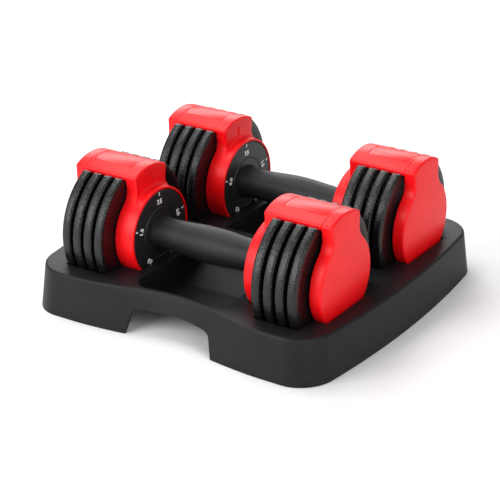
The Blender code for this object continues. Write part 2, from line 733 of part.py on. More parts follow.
def notch_cutter(cutters):
    """The hand notch through the front wall, flared to the floor and arched along its top."""
    wide = NOTCH_HALF_WIDTH
    shoulder = NOTCH_HEIGHT - NOTCH_ARCH_RISE
    radius = NOTCH_CORNER_RADIUS
    right = [(wide + NOTCH_FLARE * (1 + OVER / shoulder), -OVER)]
    right += arc((wide - radius, shoulder - radius), radius, 10.0, 80.0, 3)
    for share in (0.6, 0.3):
        right.append((wide * share, shoulder + NOTCH_ARCH_RISE * math.cos(math.pi / 2 * share)))
    inner_face = -TRAY_HALF_Y + WAIST_DEPTH_TOP + 2 * TRAY_WALL
    return prism("cut_hand_notch", mirrored(right), "Y", -TRAY_HALF_Y - OVER, inner_face, cutters)


def placed_copy(obj, name, place, turn):
    copy = bpy.data.objects.new(name, obj.data)
    copy.location = place
    copy.rotation_euler = (0, 0, turn)
    obj.users_collection[0].objects.link(copy)
    return copy


def head_places():
    """Where the four heads stand: a place and a half turn or none."""
    for side_y in (-1, 1):
        for turn in (0.0, math.pi):
            yield Vector((0, side_y * AXIS_SPACING / 2, AXIS_HEIGHT)), turn


def tray(cutters, parts):
    straight = TRAY_HEIGHT - TRAY_EDGE_FILLET
    sections = [(0.0, tray_outline(0.0, 0.0))]
    for i in range(3):
        angle = math.pi / 2 * i / 2
        height = straight + TRAY_EDGE_FILLET * math.sin(angle)
        inset = TRAY_EDGE_FILLET * (1 - math.cos(angle))
        sections.append((height, tray_outline(inset, height / TRAY_HEIGHT)))
    obj = loft("tray", sections, parts)

    core_top = TRAY_HEIGHT - TRAY_WALL
    core_sections = [
        (-OVER, tray_outline(TRAY_WALL, -OVER / TRAY_HEIGHT)),
        (core_top, tray_outline(TRAY_WALL, core_top / TRAY_HEIGHT)),
    ]
    core = loft("cut_underside", core_sections, cutters)
    wide_head = head_cutter("keep_head", TRAY_WALL, cutters)
    head = head_cutter("cut_head", 0.0, cutters)
    wide_well = well_cutter("keep_well", TRAY_WALL, cutters)
    well = well_cutter("cut_well", 0.0, cutters)
    notch = notch_cutter(cutters)

    for index, (place, turn) in enumerate(head_places()):
        boolean(core, placed_copy(wide_head, f"keep_head_{index}", place, turn))
    for index, turn in enumerate((0.0, math.pi)):
        boolean(core, placed_copy(wide_well, f"keep_well_{index}", Vector(), turn))
    baked(core)

    for index, (place, turn) in enumerate(head_places()):
        boolean(obj, placed_copy(head, f"cut_head_{index}", place, turn))
    for index, turn in enumerate((0.0, math.pi)):
        boolean(obj, placed_copy(well, f"cut_well_{index}", Vector(), turn))
        boolean(obj, placed_copy(notch, f"cut_notch_{index}", Vector(), turn))
    boolean(obj, core)
    return baked(obj)


# --- Assembly ---------------------------------------------------------------------------------------


def finished(obj, shade_angle=30.0):
    """Sets flat or smooth shading by the angle between faces."""
    obj.data.shade_smooth()
    obj.data.set_sharp_from_angle(angle=math.radians(shade_angle))


def place_piece(pattern, name, parent, finish, collection, place=(0, 0, 0), turn=0.0):
    """A named object that shares the pattern's mesh, placed in its parent's frame."""
    obj = bpy.data.objects.new(name, pattern.data)
    obj.location = place
    obj.rotation_euler = (0, 0, turn)
    obj.parent = parent
    if not pattern.data.materials:
        pattern.data.materials.append(finish)
    collection.objects.link(obj)
    return obj


def empty(name, place, turn, parent, collection):
    obj = bpy.data.objects.new(name, None)
    obj.location = place
    obj.rotation_euler = (0, 0, turn)
    obj.parent = parent
    obj.empty_display_size = 0.03
    collection.objects.link(obj)
    return obj


def build_dumbbell(prefix, place, turn, patterns, finishes, collection):
    """One dumbbell: a lifting frame, and inside it the twisting handle and two sliding rods."""
    frame = empty(prefix + "_lift", place, turn, None, collection)
    twist = empty(prefix + "_twist", (0, 0, 0), 0.0, frame, collection)
    for kind in ("grip_sleeve", "handle_tube", "cam_sleeve"):
        place_piece(patterns[kind], f"{prefix}_{kind}", twist, finishes[kind], collection)
    for own_turn in (0.0, math.pi):
        side = "right" if math.cos(turn + own_turn) > 0 else "left"
        head = f"{prefix}_{side}"
        place_piece(patterns["dial"], head + "_dial", twist, finishes["dial"], collection, turn=own_turn)
        rod = empty(head + "_rod_slide", (0, 0, 0), own_turn, frame, collection)
        for kind in ("selector_rod", "follower_pin"):
            place_piece(patterns[kind], f"{head}_{kind}", rod, finishes[kind], collection)
        for kind in ("inner_housing", "outer_cap", "top_panel", "rod_bush"):
            place_piece(patterns[kind], f"{head}_{kind}", frame, finishes[kind], collection, turn=own_turn)
        for index in range(PLATES_PER_HEAD):
            x = (FIRST_PLATE_X + index * PLATE_PITCH) * math.cos(own_turn)
            name = f"{head}_plate_{index + 1}"
            place_piece(patterns["plate"], name, frame, finishes["plate"], collection, (x, 0, 0), own_turn)


def main():
    clear_scene()
    assembly = new_collection("adjustable_dumbbell_pair")
    cutters = new_collection("cutters", hidden=True)
    drafts = new_collection("patterns", hidden=True)

    red = material("red_moulded_plastic", (0.76, 0.012, 0.012), 0.32)
    panel_red = material("red_panel_plastic", (0.72, 0.016, 0.014), 0.36)
    black = material("black_powder_coat", (0.018, 0.018, 0.020), 0.55)
    dial_black = material("satin_black_plastic", (0.016, 0.016, 0.018), 0.45)
    rubber = material("grip_rubber", (0.030, 0.030, 0.032), 0.70)
    tray_black = material("charcoal_plastic", (0.027, 0.026, 0.031), 0.50)
    steel = material("bright_steel", (0.56, 0.57, 0.58), 0.30, 1.0)
    acetal = material("white_acetal", (0.75, 0.74, 0.70), 0.40)

    patterns = {
        "inner_housing": inner_housing(cutters, drafts),
        "outer_cap": outer_cap(cutters, drafts),
        "top_panel": top_panel(drafts),
        "rod_bush": rod_bush(cutters, drafts),
        "selector_rod": selector_rod(cutters, drafts),
        "follower_pin": follower_pin(drafts),
        "plate": plate(cutters, drafts),
        "dial": dial(drafts),
        "cam_sleeve": cam_sleeve(cutters, drafts),
        "handle_tube": handle_tube(drafts),
        "grip_sleeve": grip_sleeve(drafts),
    }
    finishes = {
        "inner_housing": red,
        "outer_cap": red,
        "top_panel": panel_red,
        "rod_bush": acetal,
        "selector_rod": steel,
        "follower_pin": steel,
        "plate": black,
        "dial": dial_black,
        "cam_sleeve": acetal,
        "handle_tube": steel,
        "grip_sleeve": rubber,
    }
    for pattern in patterns.values():
        finished(pattern)
        pattern.hide_render = True

    base = tray(cutters, assembly)
    finished(base)
    base.data.materials.append(tray_black)
    front = (0, -AXIS_SPACING / 2, AXIS_HEIGHT)
    rear = (0, AXIS_SPACING / 2, AXIS_HEIGHT)
    build_dumbbell("front", front, 0.0, patterns, finishes, assembly)
    build_dumbbell("rear", rear, math.pi, patterns, finishes, assembly)
    for helper in cutters.objects:
        helper.hide_render = True
        helper.display_type = "WIRE"


main()
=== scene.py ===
# %% [markdown]
# # A pair of twist-handle dumbbells in their tray
#
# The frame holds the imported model: every piece at its real size and place, with its joints.
# It is the skeleton of this lesson. The pieces that show are modelled again here with finer
# edges and curves, and each one rides on the body that moves it.

# %% Load the frame
import math

import bpy
from mathutils import Matrix, Vector


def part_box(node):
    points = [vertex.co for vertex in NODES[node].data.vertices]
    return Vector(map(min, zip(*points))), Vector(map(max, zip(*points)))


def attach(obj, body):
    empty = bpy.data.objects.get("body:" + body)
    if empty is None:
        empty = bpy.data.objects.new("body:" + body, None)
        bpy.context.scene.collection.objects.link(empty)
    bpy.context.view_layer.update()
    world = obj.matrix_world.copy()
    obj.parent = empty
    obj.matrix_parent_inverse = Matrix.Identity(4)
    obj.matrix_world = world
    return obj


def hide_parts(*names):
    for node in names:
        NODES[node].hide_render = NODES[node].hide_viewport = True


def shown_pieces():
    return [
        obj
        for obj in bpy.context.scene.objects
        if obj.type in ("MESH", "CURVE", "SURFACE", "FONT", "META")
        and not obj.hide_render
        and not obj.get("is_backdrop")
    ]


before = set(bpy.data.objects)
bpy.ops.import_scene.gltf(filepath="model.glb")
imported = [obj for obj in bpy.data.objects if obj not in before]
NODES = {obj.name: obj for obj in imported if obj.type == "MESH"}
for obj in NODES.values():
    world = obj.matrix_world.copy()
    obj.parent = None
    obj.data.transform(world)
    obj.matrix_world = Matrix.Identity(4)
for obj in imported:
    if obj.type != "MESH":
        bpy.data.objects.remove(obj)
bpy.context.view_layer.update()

# %% [markdown]
# Blender opens with a cube, a lamp and a camera of its own. They would count as pieces of the
# object, so the scene is emptied of all that the frame did not bring.

# %% Clear what Blender starts with
for startup in ("Cube", "Light", "Camera"):
    if startup in bpy.data.objects:
        bpy.data.objects.remove(bpy.data.objects[startup])

# %% [markdown]
# The sizes are read from the frame, so that each new piece fits where the old one was. A head
# is modelled once, pointing along +X with the dumbbell's axis through the origin, and is then
# copied to its four places. The distances below are therefore measured from the middle of the
# handle outwards.

# %% Sizes read from the frame
MM = 0.001


def span(node, axis):
    low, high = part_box(node)
    return low[axis], high[axis]


def half_width(node, axis):
    low, high = span(node, axis)
    return (high - low) / 2


def middle(node):
    low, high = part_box(node)
    return (low + high) / 2


AXIS_FRONT = middle("front_handle_tube")
AXIS_REAR = middle("rear_handle_tube")
PLATE_RADIUS = half_width("front_right_plate_1", 1)
PLATE_STARTS = [span(f"front_right_plate_{i}", 0)[0] for i in (1, 2, 3, 4)]
PLATE_THICKNESS = span("front_right_plate_1", 0)[1] - PLATE_STARTS[0]
DIAL_FACE_X, DIAL_BACK_X = span("front_right_dial", 0)
DIAL_RADIUS = half_width("front_right_dial", 1)
CAP_INNER_X, HEAD_END_X = span("front_right_outer_cap", 0)
RING_FACE_X = span("front_right_inner_housing", 0)[0]
CROWN_APEX = span("front_right_inner_housing", 2)[1] - AXIS_FRONT.z
BUSH_RADIUS = half_width("front_right_rod_bush", 2)
TUBE_RADIUS = half_width("front_handle_tube", 2)
GRIP_END_X = span("front_grip_sleeve", 0)[1]
PANEL_START_X, PANEL_END_X = span("front_right_top_panel", 0)
TRAY_LOW, TRAY_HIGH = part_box("tray")
REACH = 20 * MM  # how far a cutter stands out past what it cuts
PART_GAP = 0.3 * MM  # the play that is left between two parts that nearly touch
print("axes at", AXIS_FRONT[:], AXIS_REAR[:])
print("plate radius", PLATE_RADIUS, "dial radius", DIAL_RADIUS, "head end", HEAD_END_X)

# %% [markdown]
# An operator works on all that is selected. Each step therefore starts by selecting just the
# piece it is meant for, and, in edit mode, just the faces, edges or points that pass a test.

# %% Helpers for selecting


def only(*pieces):
    """Selects these pieces and nothing else, the first one active."""
    bpy.ops.object.select_all(action="DESELECT")
    for piece in pieces:
        piece.select_set(True)
    bpy.context.view_layer.objects.active = pieces[0]


def edit(piece, points=None, edges=None, faces=None):
    """Enters edit mode with the points, edges or faces selected that pass the test."""
    only(piece)
    mesh = piece.data
    for element in (mesh.vertices, mesh.edges, mesh.polygons):
        element.foreach_set("select", [False] * len(element))
    kinds = (points is not None, edges is not None, faces is not None)
    bpy.context.tool_settings.mesh_select_mode = kinds
    for vertex in mesh.vertices if points else ():
        vertex.select = points(vertex.co)
    for edge in mesh.edges if edges else ():
        a, b = (mesh.vertices[i].co for i in edge.vertices)
        edge.select = edges(a, b)
    for face in mesh.polygons if faces else ():
        face.select = faces(face.center, face.normal)
    bpy.ops.object.mode_set(mode="EDIT")


def leave_edit():
    bpy.ops.object.mode_set(mode="OBJECT")


def everything(*_):
    return True


def turn_outwards(piece):
    edit(piece, faces=everything)
    bpy.ops.mesh.normals_make_consistent(inside=False)
    leave_edit()


def apply_modifier(piece, kind, **settings):
    """Adds a modifier with its settings and applies it at once."""
    modifier = piece.modifiers.new(kind.lower(), kind)
    for name, value in settings.items():
        setattr(modifier, name, value)
    only(piece)
    bpy.ops.object.modifier_apply(modifier=modifier.name)


# %% [markdown]
# Two shapes come back again and again. One is a flat outline given a thickness: a ring of
# points is added, drawn to the outline, filled and extruded. The other is a turned shape: the
# ring is drawn to half of the section and spun about the axis, as on a lathe.

# %% Helpers for outlines and turned shapes


def ring_of_points(name, places):
    bpy.ops.object.select_all(action="DESELECT")
    bpy.ops.mesh.primitive_circle_add(
        vertices=len(places), radius=PLATE_RADIUS, fill_type="NOTHING"
    )
    piece = bpy.context.object
    piece.name = name
    for vertex, place in zip(piece.data.vertices, places):
        vertex.co = place
    return piece


def extruded(name, places, push):
    """A filled outline, extruded by a push along one axis."""
    piece = ring_of_points(name, places)
    edit(piece, points=everything)
    bpy.ops.mesh.edge_face_add()
    bpy.ops.mesh.extrude_region()
    bpy.ops.transform.translate(value=push)
    leave_edit()
    turn_outwards(piece)
    return piece


def turned(name, profile, steps):
    """A closed profile of (along, radius) points spun about the X axis."""
    piece = ring_of_points(name, [(along, 0.0, radius) for along, radius in profile])
    edit(piece, points=everything)
    bpy.ops.mesh.spin(steps=steps, angle=2 * math.pi, center=(0, 0, 0), axis=(1, 0, 0))
    bpy.ops.mesh.select_all(action="SELECT")
    bpy.ops.mesh.remove_doubles(threshold=0.001 * MM)
    leave_edit()
    turn_outwards(piece)
    return piece


def block(name, low, high):
    """A box between two corners, used to cut with."""
    low, high = Vector(low), Vector(high)
    bpy.ops.object.select_all(action="DESELECT")
    bpy.ops.mesh.primitive_cube_add(size=1, location=(low + high) / 2, scale=high - low)
    cube = bpy.context.object
    cube.name = name
    bpy.ops.object.transform_apply(location=True, rotation=True, scale=True)
    return cube


def rod(name, radius, start, stop, steps):
    """A plain cylinder along the X axis, used to bore with."""
    bpy.ops.object.select_all(action="DESELECT")
    bpy.ops.mesh.primitive_cylinder_add(
        vertices=steps,
        radius=radius,
        depth=stop - start,
        location=((start + stop) / 2, 0, 0),
        rotation=(0, math.pi / 2, 0),
    )
    bpy.ops.object.transform_apply(location=True, rotation=True, scale=True)
    cylinder = bpy.context.object
    cylinder.name = name
    return cylinder


def cut(piece, cutter, operation="DIFFERENCE"):
    """Cuts with, adds or keeps what is inside a cutter, and removes the cutter."""
    apply_modifier(piece, "BOOLEAN", object=cutter, operation=operation, solver="EXACT")
    bpy.data.objects.remove(cutter)


def smooth(piece, degrees=35):
    only(piece)
    bpy.ops.object.shade_smooth_by_angle(angle=math.radians(degrees))


def arc(centre, radius, start, stop, steps):
    """Points of a circular arc, angles in degrees, both ends included."""
    angles = [math.radians(start + (stop - start) * i / steps) for i in range(steps + 1)]
    return [(centre[0] + radius * math.cos(a), centre[1] + radius * math.sin(a)) for a in angles]


# %% [markdown]
# A finished pattern is copied to its places. Each copy has a mesh of its own, moved to where
# the piece stands, while its object stays at the origin, because patterns in the materials
# are laid out from there. The front dumbbell stands as modelled, and the rear one is turned
# end for end.

# %% Helpers for placing copies
DUMBBELLS = {"front": (AXIS_FRONT, 0.0), "rear": (AXIS_REAR, math.pi)}
HEADS = {
    "front_right": ("front", AXIS_FRONT, 0.0),
    "front_left": ("front", AXIS_FRONT, math.pi),
    "rear_left": ("rear", AXIS_REAR, math.pi),
    "rear_right": ("rear", AXIS_REAR, 0.0),
}


def placed(pattern, name, place, turn, body, node=None):
    """A copy of the pattern, turned about Z and moved, riding on its body."""
    copy = bpy.data.objects.new(name, pattern.data.copy())
    copy.data.transform(Matrix.Translation(place) @ Matrix.Rotation(turn, 4, "Z"))
    bpy.context.scene.collection.objects.link(copy)
    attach(copy, body)
    if node:
        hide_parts(node)
    return copy


def on_each_head(pattern, kind, part, shift=0.0):
    """A copy on each of the four heads. The part is the word that ends its body's name."""
    for head, (dumbbell, place, turn) in HEADS.items():
        out = Vector((shift, 0, 0))
        out.rotate(Matrix.Rotation(turn, 3, "Z"))
        name = f"{head}_{kind}"
        placed(pattern, name + "_fine", place + out, turn, f"{dumbbell}_{part}", name)
    bpy.data.objects.remove(pattern)


def triangles(piece):
    return sum(len(face.vertices) - 2 for face in piece.data.polygons)


# %% [markdown]
# ## Materials
#
# Every finish is worked out from the real one. The helper below adds a node, sets its values
# and makes its links, so that a material reads like a parts list. Colours are written as the
# eye knows them, as sRGB hex, and turned into linear light by one function.

# %% Helpers for materials


def linear(hex_colour):
    channels = [int(hex_colour[i : i + 2], 16) / 255 for i in (0, 2, 4)]
    return [c / 12.92 if c <= 0.04045 else ((c + 0.055) / 1.055) ** 2.4 for c in channels] + [1.0]


def add_node(tree, kind, values=None, links=None, **settings):
    """Adds a node, with values for its sockets, links into them and its own settings."""
    node = tree.nodes.new(kind)
    for name, value in settings.items():
        setattr(node, name, value)
    for socket, value in (values or {}).items():
        node.inputs[socket].default_value = value
    for socket, source in (links or {}).items():
        tree.links.new(source, node.inputs[socket])
    return node


def new_finish(name, roughness, **shader_values):
    """A material with a Principled shader, and the object coordinates that patterns use."""
    made = bpy.data.materials.new(name)
    made.use_nodes = True
    shader = made.node_tree.nodes["Principled BSDF"]
    shader.inputs["Roughness"].default_value = roughness
    for socket, value in shader_values.items():
        shader.inputs[socket.replace("_", " ")].default_value = value
    place = made.node_tree.nodes.new("ShaderNodeTexCoord").outputs["Object"]
    return made, made.node_tree, shader, place


def grain(tree, place, size, detail=2.0):
    """Noise whose grains are about this far apart, in metres."""
    values = {"Scale": 1 / size, "Detail": detail}
    return add_node(tree, "ShaderNodeTexNoise", values, {"Vector": place})


def two_tones(tree, factor, dark, light, low=0.35, high=0.65):
    """Mixes two close colours by a pattern."""
    ramp = add_node(tree, "ShaderNodeValToRGB", links={"Fac": factor})
    ramp.color_ramp.elements[0].position = low
    ramp.color_ramp.elements[0].color = linear(dark)
    ramp.color_ramp.elements[1].position = high
    ramp.color_ramp.elements[1].color = linear(light)
    return ramp.outputs["Color"]


def bump(tree, shader, height, depth, strength=1.0):
    values = {"Strength": strength, "Distance": depth}
    node = add_node(tree, "ShaderNodeBump", values, {"Height": height})
    tree.links.new(node.outputs["Normal"], shader.inputs["Normal"])


def vary_roughness(tree, shader, factor, low, high):
    values = {"From Min": 0.3, "From Max": 0.7, "To Min": low, "To Max": high}
    spread = add_node(tree, "ShaderNodeMapRange", values, {"Value": factor})
    tree.links.new(spread.outputs["Result"], shader.inputs["Roughness"])


# %% [markdown]
# ### Red ABS, injection moulded
#
# The casings are ABS moulded in a polished tool that was lightly vapour blasted. The eye sees
# a strong red with a broad, soft highlight, and close up a faint orange peel. ABS has an IOR
# of about 1.54, but a blasted skin scatters part of its reflection, so the specular level is
# set well below its usual half, which keeps the red deep. The orange peel is about a
# millimetre across and only microns deep.

# %% Red ABS
RESIN_CLOUD = 14 * MM
ORANGE_PEEL = 1.1 * MM
ORANGE_PEEL_DEPTH = 0.012 * MM


def red_abs(name, dark, light):
    made, tree, shader, place = new_finish(name, 0.34, IOR=1.54, Specular_IOR_Level=0.22)
    cloud = grain(tree, place, RESIN_CLOUD).outputs["Fac"]
    peel = grain(tree, place, ORANGE_PEEL, 3.0).outputs["Fac"]
    tree.links.new(two_tones(tree, cloud, dark, light), shader.inputs["Base Color"])
    vary_roughness(tree, shader, peel, 0.32, 0.42)
    bump(tree, shader, peel, ORANGE_PEEL_DEPTH)
    return made


RED_ABS = red_abs("red_abs_injection_moulded", "ea0a11", "f00e16")
RED_PANEL = red_abs("red_abs_fine_spark_moulded", "ea0e14", "f0131a")
print("red finishes:", RED_ABS.name, RED_PANEL.name)

# %% [markdown]
# ### Black textured powder coat on steel
#
# The plates are steel, sprayed with a textured powder that is baked on. It gives a black with
# a fine, hammered grain of about a millimetre. Each crest catches the light, so that the
# upper rims sparkle. Two patterns are multiplied, round crumbs and a cloudy noise, because
# one alone looks too even. The bump is drawn deeper than the real coat, half a millimetre in
# place of a tenth, because a true one would not show from where the camera stands.

# %% Powder coat
CRUMB = 1.4 * MM
COAT_GRAIN = 1.2 * MM
COAT_DEPTH = 0.55 * MM


def powder_coat():
    name = "black_powder_coat_textured"
    made, tree, shader, place = new_finish(name, 0.35, IOR=1.5, Specular_IOR_Level=0.42)
    crumbs = add_node(
        tree, "ShaderNodeTexVoronoi", {"Scale": 1 / CRUMB}, {"Vector": place}, feature="SMOOTH_F1"
    )
    fine = grain(tree, place, COAT_GRAIN, 3.0).outputs["Fac"]
    tree.links.new(two_tones(tree, fine, "070709", "111113"), shader.inputs["Base Color"])
    vary_roughness(tree, shader, fine, 0.2, 0.42)
    links = {0: crumbs.outputs["Distance"], 1: fine}
    both = add_node(tree, "ShaderNodeMath", links=links, operation="MULTIPLY")
    bump(tree, shader, both.outputs["Value"], COAT_DEPTH)
    return made


PLATE_COAT = powder_coat()
print("plate finish:", PLATE_COAT.name)

# %% [markdown]
# ### Satin black dial, rubber grip, charcoal tray and white print
#
# The dial is ABS with a fine spark-eroded grain, which makes it satin. The grip is a
# thermoplastic rubber: matte, slightly grey, with a sheen that a rough surface gives at
# grazing angles. The tray is polypropylene with a leather-fine grain of about half a
# millimetre. Both reflect less than a polished plastic would, so their gloss is set low.
# The numbers are pad-printed white ink, a little uneven in its cover.

# %% Dial, grip, tray and print
PLASTIC_CLOUD = 30 * MM


def grained_plastic(name, dark, light, roughness, grain_size, depth, ior=1.5, gloss=0.5):
    """A moulded plastic with a fine grain, and a cloudy tone as large as a thumb print."""
    made, tree, shader, place = new_finish(name, roughness, IOR=ior, Specular_IOR_Level=gloss)
    fine = grain(tree, place, grain_size, 3.0).outputs["Fac"]
    cloud = grain(tree, place, PLASTIC_CLOUD).outputs["Fac"]
    tree.links.new(two_tones(tree, cloud, dark, light), shader.inputs["Base Color"])
    vary_roughness(tree, shader, fine, roughness - 0.05, roughness + 0.07)
    bump(tree, shader, fine, depth)
    return made


DIAL_BLACK = grained_plastic(
    "black_abs_spark_grained", "161618", "1b1b1d", 0.48, 0.5 * MM, 0.02 * MM, 1.54
)
GRIP_RUBBER = grained_plastic(
    "grey_thermoplastic_rubber_moulded", "121114", "17161a", 0.52, 0.6 * MM, 0.03 * MM, 1.5, 0.33
)
TRAY_PLASTIC = grained_plastic(
    "charcoal_polypropylene_grained", "131216", "18171b", 0.5, 0.6 * MM, 0.03 * MM, 1.49, 0.24
)
WHITE_INK = grained_plastic("white_pad_print_ink", "f0f0f0", "fafafa", 0.5, 0.4 * MM, 0.01 * MM)
print("plastics:", DIAL_BLACK.name, GRIP_RUBBER.name, TRAY_PLASTIC.name)

# %% [markdown]
# ### Turned steel and natural acetal
#
# Inside run turned and ground steel rods in acetal, the usual pair where metal slides with no
# oil. Turning leaves fine rings round the axis, which runs along X here, so the grooves are
# bands that change along X only. Acetal is a waxy white that lets a little light in.

# %% Steel and acetal
TOOL_PITCH = 1.5 * MM
TOOL_MARK_DEPTH = 0.01 * MM


def turned_steel():
    made, tree, shader, place = new_finish("steel_turned_and_ground", 0.28, Metallic=1.0)
    values = {"Scale": 1 / TOOL_PITCH, "Distortion": 0.6}
    grooves = add_node(
        tree, "ShaderNodeTexWave", values, {"Vector": place}, bands_direction="X"
    ).outputs["Fac"]
    tone = two_tones(tree, grooves, "b4b6ba", "c4c6ca")
    tree.links.new(tone, shader.inputs["Base Color"])
    vary_roughness(tree, shader, grooves, 0.24, 0.34)
    bump(tree, shader, grooves, TOOL_MARK_DEPTH)
    return made


STEEL = turned_steel()
ACETAL = grained_plastic(
    "natural_acetal_turned", "dcd9d0", "e6e3da", 0.4, 1.2 * MM, 0.01 * MM, 1.48
)
ACETAL.node_tree.nodes["Principled BSDF"].inputs["Subsurface Weight"].default_value = 0.1
print("inner finishes:", STEEL.name, ACETAL.name)

# %% [markdown]
# The tubes, sleeves, rods, pins and bushes sit deep inside and are already round enough, so
# they keep the frame's own meshes. They only get a finish, found by how their name ends.

# %% Finishes of the pieces that stay as they are
INNER_FINISHES = {
    "rod_bush": ACETAL,
    "cam_sleeve": ACETAL,
    "handle_tube": STEEL,
    "selector_rod": STEEL,
    "follower_pin": STEEL,
}


def paint(piece, finish):
    piece.data.materials.clear()
    piece.data.materials.append(finish)


for name, node in NODES.items():
    for ending, finish in INNER_FINISHES.items():
        if name.endswith(ending):
            paint(node, finish)
            print(name, "gets", finish.name)

# %% [markdown]
# Many edges are rounded with a bevel. Blender can select edges by how sharp they are, and a
# test on their place then keeps just those that are meant.

# %% Helper for rounding sharp edges


def bevel_sharp(piece, wanted, offset, segments, sharpness=40):
    """Bevels the sharp edges that pass the test."""
    edit(piece, edges=lambda a, b: False)
    bpy.ops.mesh.edges_select_sharp(sharpness=math.radians(sharpness))
    leave_edit()
    mesh = piece.data
    count = 0
    for edge in mesh.edges:
        a, b = (mesh.vertices[i].co for i in edge.vertices)
        edge.select = edge.select and wanted(a, b)
        count += edge.select
    bpy.context.tool_settings.mesh_select_mode = (False, True, False)
    bpy.ops.object.mode_set(mode="EDIT")
    bpy.ops.mesh.select_mode(type="EDGE")
    bpy.ops.mesh.bevel(offset=offset, segments=segments, affect="EDGES", clamp_overlap=True)
    leave_edit()
    print("rounded", count, "edges of", piece.name)


# %% [markdown]
# ## Weight plate
#
# A plate is a cut steel disc whose rim is rounded over on both sides. At its top a notch lets
# the red bridge pass, and the rim is cut flat on either side of it. The disc is turned from
# its half section, which already has the rounded rim and a shallow step on both faces. The
# notch is cut with a rounded block, as a punch would.

# %% Turn the plate
PLATE_ROUNDING = 2.6 * MM
PLATE_BORE = 9.2 * MM
PLATE_STEPS = 128
FACE_BAND = 5.0 * MM
FACE_STEP = 0.5 * MM
NOTCH_FLOOR = 55.2 * MM
NOTCH_HALF_WIDTH = 27.2 * MM
SHOULDER = 58.3 * MM


def plate_profile():
    flat = PLATE_RADIUS - PLATE_ROUNDING
    near = arc((PLATE_ROUNDING, flat), PLATE_ROUNDING, 180.0, 90.0, 5)
    far = arc((PLATE_THICKNESS - PLATE_ROUNDING, flat), PLATE_ROUNDING, 90.0, 0.0, 5)
    band, sunk = flat - FACE_BAND, flat - FACE_BAND - MM
    face = [(PLATE_THICKNESS, band), (PLATE_THICKNESS - FACE_STEP, sunk)]
    bore = [(PLATE_THICKNESS - FACE_STEP, PLATE_BORE), (FACE_STEP, PLATE_BORE)]
    back = [(FACE_STEP, sunk), (0.0, band)]
    return near + far + face + bore + back


plate = turned("plate_pattern", plate_profile(), PLATE_STEPS)
print("plate turned with", triangles(plate), "triangles")

# %% Cut the shoulders and the notch
NOTCH_EDGE = 1.0 * MM
above = PLATE_RADIUS + REACH
beside = PLATE_RADIUS + 2 * REACH
cut(plate, block("shoulder", (-REACH, -beside, SHOULDER), (REACH, beside, above)))
notch_low = (-REACH, -NOTCH_HALF_WIDTH, NOTCH_FLOOR)
cut(plate, block("notch", notch_low, (REACH, NOTCH_HALF_WIDTH, above)))
bevel_sharp(plate, lambda a, b: min(a.z, b.z) > NOTCH_FLOOR - MM, NOTCH_EDGE, 3)
smooth(plate)
paint(plate, PLATE_COAT)
print("plate cut, now", triangles(plate), "triangles")

# %% Copy the plate to its sixteen places
for number, start in enumerate(PLATE_STARTS, 1):
    pattern = plate.copy()
    pattern.data = plate.data.copy()
    bpy.context.scene.collection.objects.link(pattern)
    on_each_head(pattern, f"plate_{number}", "dumbbell", start)
bpy.data.objects.remove(plate)
print("plates placed: 16")

# %% [markdown]
# ## The casing's outline
#
# Seen along the axis, both halves of the red casing share one outline: a round lobe below, a
# concave fillet into a narrow neck, and a crowned top with small rounded corners. It is drawn
# from arcs that meet in line, so that the highlights flow from one to the next.

# %% Draw the casing outline
LOBE_RADIUS = 44.4 * MM
NECK_HALF_WIDTH = 23.2 * MM
NECK_FILLET = 17.0 * MM
CROWN_RADIUS = 50.0 * MM
CROWN_HALF_WIDTH = 24.6 * MM
CROWN_CORNER = 3.0 * MM


def casing_half():
    """The +Y half of the outline, from the foot of the lobe to just before the apex."""
    fillet_y = NECK_HALF_WIDTH + NECK_FILLET
    fillet_z = math.sqrt((LOBE_RADIUS + NECK_FILLET) ** 2 - fillet_y**2)
    meet = math.degrees(math.atan2(fillet_z, fillet_y))
    centre_z = CROWN_APEX - CROWN_RADIUS
    corner_y = CROWN_HALF_WIDTH - CROWN_CORNER
    corner_z = centre_z + math.sqrt((CROWN_RADIUS - CROWN_CORNER) ** 2 - corner_y**2)
    lean = math.degrees(math.atan2(corner_z - centre_z, corner_y))
    points = arc((0, 0), LOBE_RADIUS, -87.0, meet, 44)
    points += arc((fillet_y, fillet_z), NECK_FILLET, 180.0 + meet, 180.0, 10)[1:]
    points += arc((corner_y, corner_z), CROWN_CORNER, -8.0, lean, 6)
    points += arc((0, centre_z), CROWN_RADIUS, lean, 90.0, 12)[1:-1]
    return points


def casing_outline():
    half = casing_half()
    mirrored = [(-y, z) for y, z in reversed(half)]
    return [(0, -LOBE_RADIUS)] + half + [(0, CROWN_APEX)] + mirrored


OUTLINE = casing_outline()
print("outline points:", len(OUTLINE))

# %% [markdown]
# ## Outer cap
#
# The cap closes the head. Its rim is rounded over, and its outer face is domed a little, which
# spreads the light over it. The outline is extruded and its outer rim bevelled. Then the flat
# face is sliced by a grid of bisecting planes, which gives it points to bend, and every point
# near the face is pushed out by how close it is to the middle, as if the face were pressed
# against a very large ball.

# %% Extrude and round the cap
CAP_ROUNDING = 1.6 * MM
SEAM_CHAMFER = 0.5 * MM
DOME_HEIGHT = 2.4 * MM
DOME_CENTRE_Z = 8.0 * MM
DOME_REACH = 60.0 * MM
GRID_STEP = 6.0 * MM


def on_outer_face(centre, normal):
    return normal.x > 0.99


def bisect_along(piece, axis, places):
    """Slices the faces that look outwards along planes across one axis."""
    for place in places:
        edit(piece, faces=on_outer_face)
        point = [0, 0, 0]
        point[axis] = place
        direction = [0, 0, 0]
        direction[axis] = 1
        bpy.ops.mesh.bisect(plane_co=point, plane_no=direction)
        leave_edit()


def domed(y, z):
    """How far a point of the outer face is pushed out."""
    reach = (y**2 + (z - DOME_CENTRE_Z) ** 2) / DOME_REACH**2
    return DOME_HEIGHT * (1 - reach)


